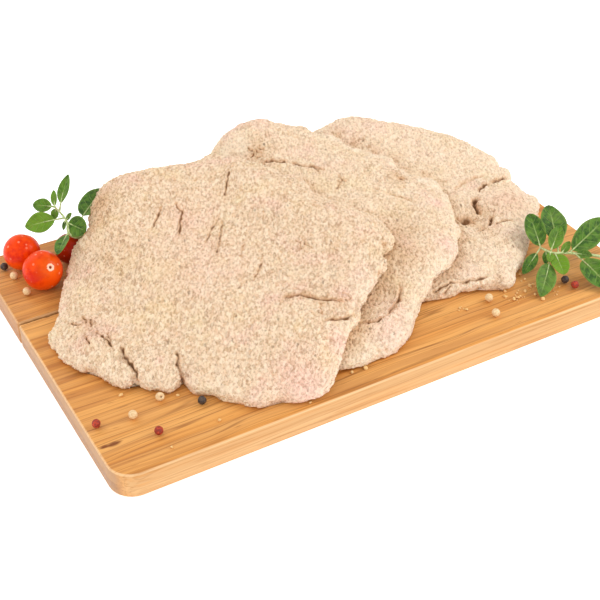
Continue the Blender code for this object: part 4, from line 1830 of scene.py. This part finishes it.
LEFT_SPRIG = Sprig(
    node="oregano_left",
    stem=((-115, 81, 17), (-120.5, 77.5, 19.5), (-124.4, 79, 23), (-123, 86.6, 28), (-125.4, 99.2, 32)),
    radius=0.8,
    leaves=(
        Leaf(0.90, (-109.4, 113.4, 43.0), 7.6, (-0.6, -0.6, 0.5), 0.22, 0.8, young=0.2),
        Leaf(0.99, (-122.0, 107.0, 38.5), 4.2, (-0.5, -0.6, 0.5), 0.06, young=0.5),
        Leaf(0.985, (-136.0, 109.0, 31), 8.8, (-0.4, -0.6, 0.7), 0.14, young=0.35),
        Leaf(0.97, (-127.6, 95.0, 25.5), 5.4, (-0.6, -0.6, 0.5), 0.08, young=0.5),
        Leaf(0.79, (-146.0, 98.0, 24), 13.0, (-0.3, -0.6, 0.7), 0.24, 0.72, young=0.7),
        Leaf(0.74, (-119.3, 85.4, 33), 3.0, (-0.7, -0.5, 0.5), 0.06),
        Leaf(0.76, (-126.4, 83.4, 23.5), 2.8, (-0.7, -0.6, 0.4), 0.06),
        Leaf(0.71, (-114.6, 76.0, 23), 13.5, (-0.3, -0.7, 0.6), 0.06, 0.5),
        Leaf(0.43, (-88.0, 113.0, 26), 14.5, (-0.5, -0.6, 0.6), 0.40, 0.5),
        Leaf(0.53, (-139.6, 58.0, 25), 8.0, (-0.5, -0.5, 0.7), 0.14),
    ),
)

RIGHT_SPRIG = Sprig(
    node="oregano_right",
    stem=((172, -87, 1.4), (159, -84, 7), (142, -77.2, 11), (130.5, -73.9, 13), (128, -65, 12.5)),
    radius=1.0,
    leaves=(
        Leaf(1.00, (134.1, -44.2, 24), 12.5, (-0.4, -0.6, 0.7), 0.05, 0.52),
        Leaf(0.66, (150.9, -42.2, 24), 16.0, (-0.3, -0.6, 0.7), 0.22),
        Leaf(0.80, (144.5, -62.0, 22), 9.5, (-0.5, -0.7, 0.5), 0.12, 0.7, young=0.3),
        Leaf(0.52, (173.6, -70.0, 22), 16.0, (-0.2, -0.7, 0.7), 0.08),
        Leaf(1.00, (109.7, -72.3, 3.5), 7.5, (-0.5, -0.6, 0.6), 0.22),
        Leaf(0.88, (124.0, -76.0, 8), 4.5, (-0.6, -0.5, 0.6), 0.05),
        Leaf(0.78, (105.7, -94.7, 2), 12.5, (-0.3, -0.7, 0.6), 0.26),
        Leaf(0.72, (126.4, -90.5, 8.5), 11.0, (-0.3, -0.7, 0.6), 0.06, 0.5, young=0.9),
        Leaf(0.46, (150.6, -87.0, 12), 6.0, (-0.4, -0.5, 0.8), 0.10),
        Leaf(0.46, (147.5, -110.0, 2.5), 17.0, (-0.2, -0.7, 0.7), 0.20),
        Leaf(0.12, (172.0, -106.0, 3), 12.0, (0.1, -0.6, 0.8), 0.14),
        Leaf(0.80, (122.5, -80.5, 13), 4.4, (-0.5, -0.6, 0.6), 0.05, young=0.8),
        Leaf(0.62, (143.5, -73.5, 17), 5.0, (-0.4, -0.7, 0.6), 0.05, young=0.4),
    ),
)

FRONT_CUT = Schnitzel(
    node="schnitzel_front",
    seed=3,
    rim=0.2,
    bulges=(
        Bulge((-90, 104), (-2.4, 3.4, 2.0), 15),
        Bulge((-105, 87), (-2.6, 2.0, 0), 13),
        Bulge((-119, 69), (-5.4, 3.9, -1.5), 9),
        Bulge((-144, 48), (2.4, -1.7, 0), 11),
        Bulge((-158, 20), (1.6, -0.6, 0), 13),
        Bulge((-68.8, 96), (0.3, -0.8, -1.2), 9),
        Bulge((-21, 98), (0.3, -0.6, -3.6), 13),
        Bulge((-147.5, -41), (-2.6, -4.6, 0), 9),
        Bulge((-111, -78), (1.0, 2.4, 0), 9),
        Bulge((-87, -99), (-0.3, -1.4, 0), 5),
    ),
    creases=(
        Crease(((-46, -46), (-40.3, -48), (-34.6, -50), (-30.7, -54.5), (-28.7, -58)), 1.7, 1.0, 0.6, 0.7, 0.3),
        Crease(((-34.6, -51), (-29.5, -56.5), (-24.2, -62), (-17.1, -65), (-12.7, -66)), 1.6, 0.95, 0.5, 0.7, 0.3),
        Crease(((-12.7, -59), (-9.7, -61.7), (-9.9, -64.2), (-15.8, -65.1)), 0.9, 0.6, 0.3, 0.6),
        Crease(((-27.7, -60.7), (-30.9, -67.2), (-33.3, -72.4)), 0.7, 0.6, 0.2, 0.5),
        Crease(((-36, -76), (-28.1, -76.8), (-23.4, -76.7), (-18.1, -76.5), (-12, -74.5)), 1.5, 0.9, 0.5, 0.7, 0.2),
        Crease(((-56.5, 67), (-60.1, 60.4), (-58.1, 55.9), (-62.4, 49.9), (-65.2, 44), (-72, 32)), 1.2, 0.7, 0.4, 0.95),
        Crease(((-67.5, 66), (-70.4, 61.3), (-76.2, 54.7), (-79.3, 50.9), (-84.5, 45)), 1.0, 0.65, 0.3, 0.8),
        Crease(((-15, 76), (-17.7, 72.1), (-21.9, 65.5), (-26.1, 60), (-31, 52)), 1.1, 0.7, 0.4, 0.85),
        Crease(((-37.4, 45), (-41.6, 39.6), (-47.9, 35.1), (-54.5, 27.5), (-61, 20.5)), 1.0, 0.65, 0.3, 0.7),
        Crease(((-39, 39), (-42.9, 32.9), (-50.6, 20.4), (-56.3, 11.8), (-60, 5)), 1.0, 0.65, 0.3, 0.75),
        Crease(((-35.5, 15.3), (-42.8, 5.3), (-49.3, -4.5)), 0.8, 0.6, 0.3, 0.5),
        Crease(((-36, -8), (-41.4, -14.8), (-46, -19.5), (-53.5, -27)), 0.9, 0.65, 0.3, 0.65),
        Crease(((-134.8, -24), (-137, -34), (-136, -39.8), (-135.4, -46.3), (-136.6, -53)), 2.0, 0.75, 0.4, 1.0, 0.9),
        Crease(((-110.5, -44), (-112, -50), (-114.5, -55), (-114.2, -62)), 1.4, 0.75, 0.5, 0.9, -0.3),
        Crease(((-143.6, -4), (-141.7, -12.5), (-140.4, -19.7), (-140.6, -24.4), (-143.2, -27)), 1.5, 0.7, 0.5, 0.95),
        Crease(((-152.6, 10.5), (-151.5, 6), (-149.5, 3.8), (-147, 3.2)), 1.2, 0.7, 0.5, 0.85),
        Crease(((-145, 11), (-144.2, 6), (-145.4, 2)), 1.2, 0.7, 0.5, 0.85),
        Crease(((-141, 7), (-142, 2), (-144.6, -2)), 1.2, 0.7, 0.5, 0.85),
        Crease(((-149, -7), (-149.8, -11), (-150, -16)), 1.2, 0.7, 0.5, 0.85),
        Crease(((-138, -10), (-138.8, -18), (-141.6, -25)), 1.0, 0.7, 0.5, 0.6),
        Crease(((-10, -9), (-11.5, -15), (-9, -22)), 0.9, 0.7, 0.4, 0.5),
        Crease(((-14, -6), (-13, -12), (-15, -18)), 0.8, 0.6, 0.4, 0.45),
    ),
    dents=(
        Dent((28.9, -39.6), 2.0, 1.2, 0.35),
        Dent((-73.2, -90.1), 1.2, 0.8, 0.5),
        Dent((-56.1, -59.2), 1.0, 0.6, 0.4),
        Dent((-38.6, 78.2), 2.2, 0.8, 0.4),
        Dent((-20, 10), 16, 0.9),
        Dent((-95, 25), 18, -0.8),
        Dent((-35, -85), 14, -0.9),
        Dent((-100, -20), 15, 0.8),
    ),
    nicks=(
        Nick((-137.3, -54), 98, 5.0, 1.2, 0.0),
        Nick((-113.8, -64.5), 95, 6.0, 1.3, 0.4),
        Nick((-155.5, -29), 40, 2.6, 2.4, 0.0),
        Nick((-76, -105), 82, 5.0, 8.0, 0.0),
        Nick((-101, -90), 60, 2.2, 6.0, 0.0),
        Nick((31, -46.5), 165, 4.0, 1.8),
        Nick((22, -58), 140, 5.0, 3.0),
        Nick((-158.5, -28), 60, 2.0, 1.8),
    ),
    patches=(
        Patch((-62, -104), 15, 0.9, StainAndLight.PINK),
        Patch((-32.6, -90.4), 8, 0.9, StainAndLight.PINK),
        Patch((-12, -61), 7, 0.7, StainAndLight.PINK),
        Patch((-60, 48), 13, 0.55, StainAndLight.PINK),
        Patch((-70, 5), 22, 0.35, StainAndLight.PINK),
        # painted shadow of the left sprig's leaves
        Patch((-100, 88), 12, 1.0, StainAndLight.BROWN),
        Patch((-108, 74), 10, 0.9, StainAndLight.BROWN),
        # painted shade in the pit
        Patch((28.9, -39.6), 2.5, 1.0, StainAndLight.BROWN),
        Patch((-146, 3), 9, 0.35, StainAndLight.BROWN),
        Patch((-110, 40), 16, 0.3, StainAndLight.BROWN),
        # painted shade along the cracks
        Patch((-40, -48), 4, 0.6, StainAndLight.BROWN),
        Patch((-33, -52), 4, 0.6, StainAndLight.BROWN),
        Patch((-25, -61), 4, 0.6, StainAndLight.BROWN),
        Patch((-17, -65), 3.5, 0.5, StainAndLight.BROWN),
        Patch((-27, -76.5), 4, 0.5, StainAndLight.BROWN),
        # painted highlights along the rims
        Patch((5, -62), 11, 0.7, StainAndLight.RIM_HIGHLIGHT),
        Patch((-22, -86), 9, 0.6, StainAndLight.RIM_HIGHLIGHT),
    ),
)

# points along the middle cut's rim that get a painted highlight
MIDDLE_RIM = ((71, 88), (77, 71), (86, 61), (93, 50), (93, 34), (98, 22), (104, 14), (101, -1))

MIDDLE_CUT = Schnitzel(
    node="schnitzel_middle",
    seed=11,
    voxel=0.00074,
    cover="schnitzel_front",
    dark=1.0,
    pale=0.2,
    bulges=(
        Bulge((33, 112), (0.9, 1.6, 2.2), 20),
        Bulge((58, 104), (0.4, 1.2, 2.3), 15),
        Bulge((41, -62), (4.2, -3.0, 0), 9),
    ),
    creases=(
        Crease(((12, 84), (16, 81.6), (20, 80.6), (25.4, 77.6), (29.3, 75.3)), 1.7, 0.9, 0.8, 0.75, 0.5),
        Crease(((28, 77), (35.7, 69.5), (41.8, 65.1), (47, 58)), 1.5, 0.8, 0.6, 0.6, 0.5),
        Crease(((40, 69), (42, 64.2), (41.2, 56)), 0.8, 0.6, 0.4, 0.5),
        Crease(((13, 90.5), (9.5, 93), (7.8, 97.6)), 1.0, 0.55, 0.6, 0.75),
        Crease(((12.4, 93.7), (13.5, 90), (15.3, 88.1)), 1.0, 0.55, 0.6, 0.8),
        Crease(((17.3, 95.5), (16, 92), (19.5, 90.6)), 1.0, 0.55, 0.6, 0.7),
        Crease(((11, 91), (8.5, 89.5), (6, 87.6)), 1.0, 0.55, 0.6, 0.8),
        Crease(((9.6, 88), (12.5, 86.5), (15, 86.8)), 0.9, 0.55, 0.5, 0.7),
        Crease(((45.4, 44.5), (49.8, 43.1), (52, 40)), 0.8, 0.6, 0.4, 0.55),
        Crease(((51.5, 54), (50.8, 49), (50, 44), (46.9, 41.3), (37, 34)), 0.8, 0.9, 0.4, 0.5),
        Crease(((67, 18), (71, 13), (74, 8), (77, 0)), 0.8, 0.8, 0.3, 0.5),
        Crease(((26, -60), (25.1, -63.3), (21.4, -68), (13.7, -72.6), (6.2, -76.8)), 2.0, 0.9, 1.2, 0.6),
        Crease(((8, -76), (0.8, -77.8), (-3.2, -77.7), (-7.5, -75.7), (-12, -75)), 2.0, 0.8, 1.2, 0.8),
    ),
    dents=(
        Dent((86.9, 29.8), 2.4, 1.8, 0.8),
        Dent((89.4, 35.9), 1.5, 1.0, 0.75),
        Dent((92.5, 41), 1.2, 0.8, 0.7),
        Dent((82, 18.9), 1.2, 0.8, 0.65),
        Dent((64.4, 24.7), 1.5, 0.7, 0.4),
        Dent((-9.3, -94.4), 1.6, 1.4, 0.6),
        Dent((-4.7, -95.6), 1.3, 1.2, 0.6),
        Dent((60, -5), 14, 0.9),
        Dent((70, 60), 12, -0.8),
        Dent((33, -50), 10, 1.6),
        Dent((14, -64), 8, 1.4),
        Dent((52, -20), 9, 1.2),
    ),
    patches=(
        Patch((12, 93), 8, 0.9, StainAndLight.BROWN),
        Patch((90.8, -6.7), 5, 1.0, StainAndLight.PINK),
        Patch((70.5, -46.3), 7, 1.0, StainAndLight.PINK),
        Patch((5, -88), 14, 0.7, StainAndLight.PINK),
        # painted shade beside the front cut's edge, with browner crumbs
        Patch((46, -20), 16, 0.9, StainAndLight.BROWN),
        Patch((38, -42), 14, 0.9, StainAndLight.BROWN),
        Patch((22, -60), 10, 0.7, StainAndLight.BROWN),
        # painted shade in the pits
        Patch((87.1, 32.9), 8, 0.9, StainAndLight.BROWN),
        Patch((91, -7), 3.5, 1.0, StainAndLight.PINK),
        # painted highlights along the rims
        Patch((6, 98.4), 9, 0.8, StainAndLight.RIM_HIGHLIGHT),
        Patch((-5.8, 100.2), 9, 0.8, StainAndLight.RIM_HIGHLIGHT),
        *(Patch(at, 4.5, 0.9, StainAndLight.RIM_HIGHLIGHT) for at in MIDDLE_RIM),
        Patch((45, -64), 6, 0.9, StainAndLight.RIM_HIGHLIGHT),
        Patch((10, -88), 8, 0.6, StainAndLight.RIM_HIGHLIGHT),
    ),
)

# points behind the middle cut's rim where the rear cut gets a painted shadow
REAR_SHADE = ((80, 100), (88, 88), (97, 78), (106, 66), (108, 54), (115, 42), (117, 30), (111, 10))

REAR_CUT = Schnitzel(
    node="schnitzel_rear",
    seed=23,
    voxel=0.00068,
    cover="schnitzel_middle",
    shade_reach=7.0,
    dark=1.0,
    pale=0.35,
    bulges=(
        Bulge((150, 64), (1.2, 1.3, 1.3), 20),
        Bulge((95, 100), (0, 1.0, 2.0), 24),
        Bulge((130, 88), (0, 1.0, 1.6), 24),
        Bulge((97, -76), (1.2, -2.2, 0), 5.5),
    ),
    nicks=(
        Nick((86, -78.5), 86, 4.0, 3.6, 0.0),
        Nick((73, -75), 95, 2.4, 7.0, 0.0),
        Nick((57, -71), 100, 2.0, 1.4, 0.4),
    ),
    creases=(
        Crease(((129, 5), (126.9, 1.2), (123.2, -2.7), (121.1, -9.9), (120, -13)), 4.0, 1.5, 1.4, 1.0),
        Crease(((133, 7.5), (136.3, 9.6), (142.3, 12.1), (148, 13)), 2.0, 0.9, 1.2, 0.9, 1.0),
        Crease(((146, 12), (154.7, 13.1), (161, 15.5), (167, 18.5)), 2.0, 0.9, 1.2, 0.7, 1.0),
        Crease(((126, -18), (124.5, -20.3), (119.3, -25.2), (117, -28)), 2.6, 1.1, 1.2, 1.0),
        Crease(((114, -27), (108, -31), (105, -29.4)), 2.2, 1.0, 1.0, 0.85),
        Crease(((133, -33), (131.4, -30.3), (124.7, -28.5), (118, -30)), 1.2, 0.7, 0.6, 0.75),
        Crease(((105, -7), (106, -13), (104.5, -20)), 3.0, 1.5, 1.4, 0.75),
        Crease(((120, 17), (130, 21), (140, 23), (152, 22.7)), 0.7, 1.2, 0.9, 0.1, 0.5),
        Crease(((46, -65), (54, -64.5), (61.1, -64.2), (67.4, -65.3)), 1.6, 0.8, 0.8, 0.85),
        Crease(((64, -65), (73.2, -67.5), (79.4, -69.2), (86, -71.5)), 1.6, 0.8, 0.8, 0.7),
        Crease(((50, -69.5), (57, -67), (62, -66)), 1.2, 0.7, 0.5, 0.8),
    ),
    dents=(
        Dent((107.6, -14.0), 4.6, 4.0, 0.95),
        Dent((110.6, -12.3), 3.8, 2.0, 0.95),
        Dent((112.4, -17.2), 1.6, 0.8, 0.75),
        Dent((115.6, -14.6), 1.2, 0.5, 0.7),
        Dent((108.5, -21.5), 1.3, 0.6, 0.7),
        Dent((112.5, -24.5), 3.6, 2.2, 0.5),
        Dent((116, -14), 14.0, 3.4),
        Dent((137, -6), 10.0, -1.6),
        Dent((139.8, 11.8), 1.4, 0.9, 0.5),
        Dent((108.9, -29.8), 1.4, 1.0, 0.6),
        Dent((129.2, -29.1), 1.2, 0.8, 0.5),
        Dent((138.5, -12), 13, -0.9),
        Dent((120, 45), 20, -0.8),
    ),
    patches=(
        *(Patch(at, 6.0, 0.8, StainAndLight.BROWN) for at in REAR_SHADE),
        # painted shade in the pit
        Patch((110, -16), 9, 1.0, StainAndLight.BROWN),
        # painted light: a warm tint and a lightening in the leaf's shadow, for light thrown back by the board
        Patch((124, -52), 12, 0.35, StainAndLight.BROWN),
        Patch((127, -45), 9, 0.5, StainAndLight.RIM_HIGHLIGHT),
        # painted shade in the folds by the pit
        Patch((123, -14), 10, 0.8, StainAndLight.BROWN),
        Patch((112, -32), 9, 0.6, StainAndLight.BROWN),
        Patch((142, -12), 14, 0.8, StainAndLight.PINK),
        # painted highlight along the rim
        Patch((160, -6), 12, 0.5, StainAndLight.RIM_HIGHLIGHT),
        # painted shade in the nick
        Patch((89, -75.8), 4.5, 1.0, StainAndLight.BROWN),
        Patch((75, -62), 12, 0.4, StainAndLight.PINK),
        Patch((112, -45), 10, 0.4, StainAndLight.BROWN),
        Patch((142, -14), 14, 0.5, StainAndLight.BROWN),
        # painted light: a warm tint in the leaf's shadow, for light thrown back by the board
        Patch((124, -64), 9, 0.9, StainAndLight.BROWN),
        # painted highlight on the nub
        Patch((97, -76), 4, 0.8, StainAndLight.RIM_HIGHLIGHT),
    ),
)

LOOSE = LooseCrumbs(
    known=(
        (-147.6, -51.6, 1.1), (-120.7, -66.9, 0.9), (-110.0, -96.0, 1.0), (-20.0, -98.0, 1.3),
        (-28.5, -97.2, 1.1), (-140.7, -102.3, 0.9), (110.9, -68.6, 1.2), (110.2, -74.3, 1.0),
        (108.3, -81.6, 1.3), (102.5, -84.2, 1.1), (106.8, -96.0, 1.4), (88.8, -82.3, 1.0),
        (91.7, -87.4, 1.2), (91.9, -78.2, 1.1), (115.0, -62.3, 1.3), (105.8, -89.7, 1.0),
    ),
    spill=((104.0, -82.0, 12.0), (92.0, -86.0, 8.0), (118.0, -92.0, 6.0), (-60.0, -105.0, 5.0), (60.0, -80.0, 4.0)),
)


def main() -> None:
    """Builds every piece in order, then the studio."""
    logging.basicConfig(level=logging.INFO, format="%(asctime)s %(name)s %(message)s")
    bamboo = BambooFinish().make()
    Plank("board_front_plank", -1).build(bamboo)
    Plank("board_rear_plank", 1).build(bamboo)
    skin = TomatoFinish().make()
    for tomato in TOMATOES:
        tomato.build(skin)
    white = PepperFinish(Pepper.WHITE, tone(240, 212, 166), tone(220, 182, 132), relief=0.00006)
    red = PepperFinish(Pepper.RED, tone(196, 64, 32), tone(128, 34, 18), 0.55)
    black = PepperFinish(Pepper.BLACK, tone(92, 74, 62), tone(38, 28, 24))
    Peppercorns(Pepper.WHITE, 6, 0.02, 0.9, (2,)).build(white.make())
    Peppercorns(Pepper.RED, 3, 0.16, 1.6).build(red.make())
    Peppercorns(Pepper.BLACK, 3, 0.20, 2.6).build(black.make())
    leaf, stem = LeafFinish().make(), StemFinish().make()
    LEFT_SPRIG.build(leaf, stem)
    RIGHT_SPRIG.build(leaf, stem)
    crumbs = CrumbFinish().make()
    relief, scatter = CrumbRelief(), CrumbScatter()
    grains = [cut.build(relief, scatter, crumbs) for cut in (REAR_CUT, MIDDLE_CUT, FRONT_CUT)]
    LOOSE.build(grains, crumbs)
    Studio().build(FloorFinish().make())


if __name__ == "__main__":
    main()
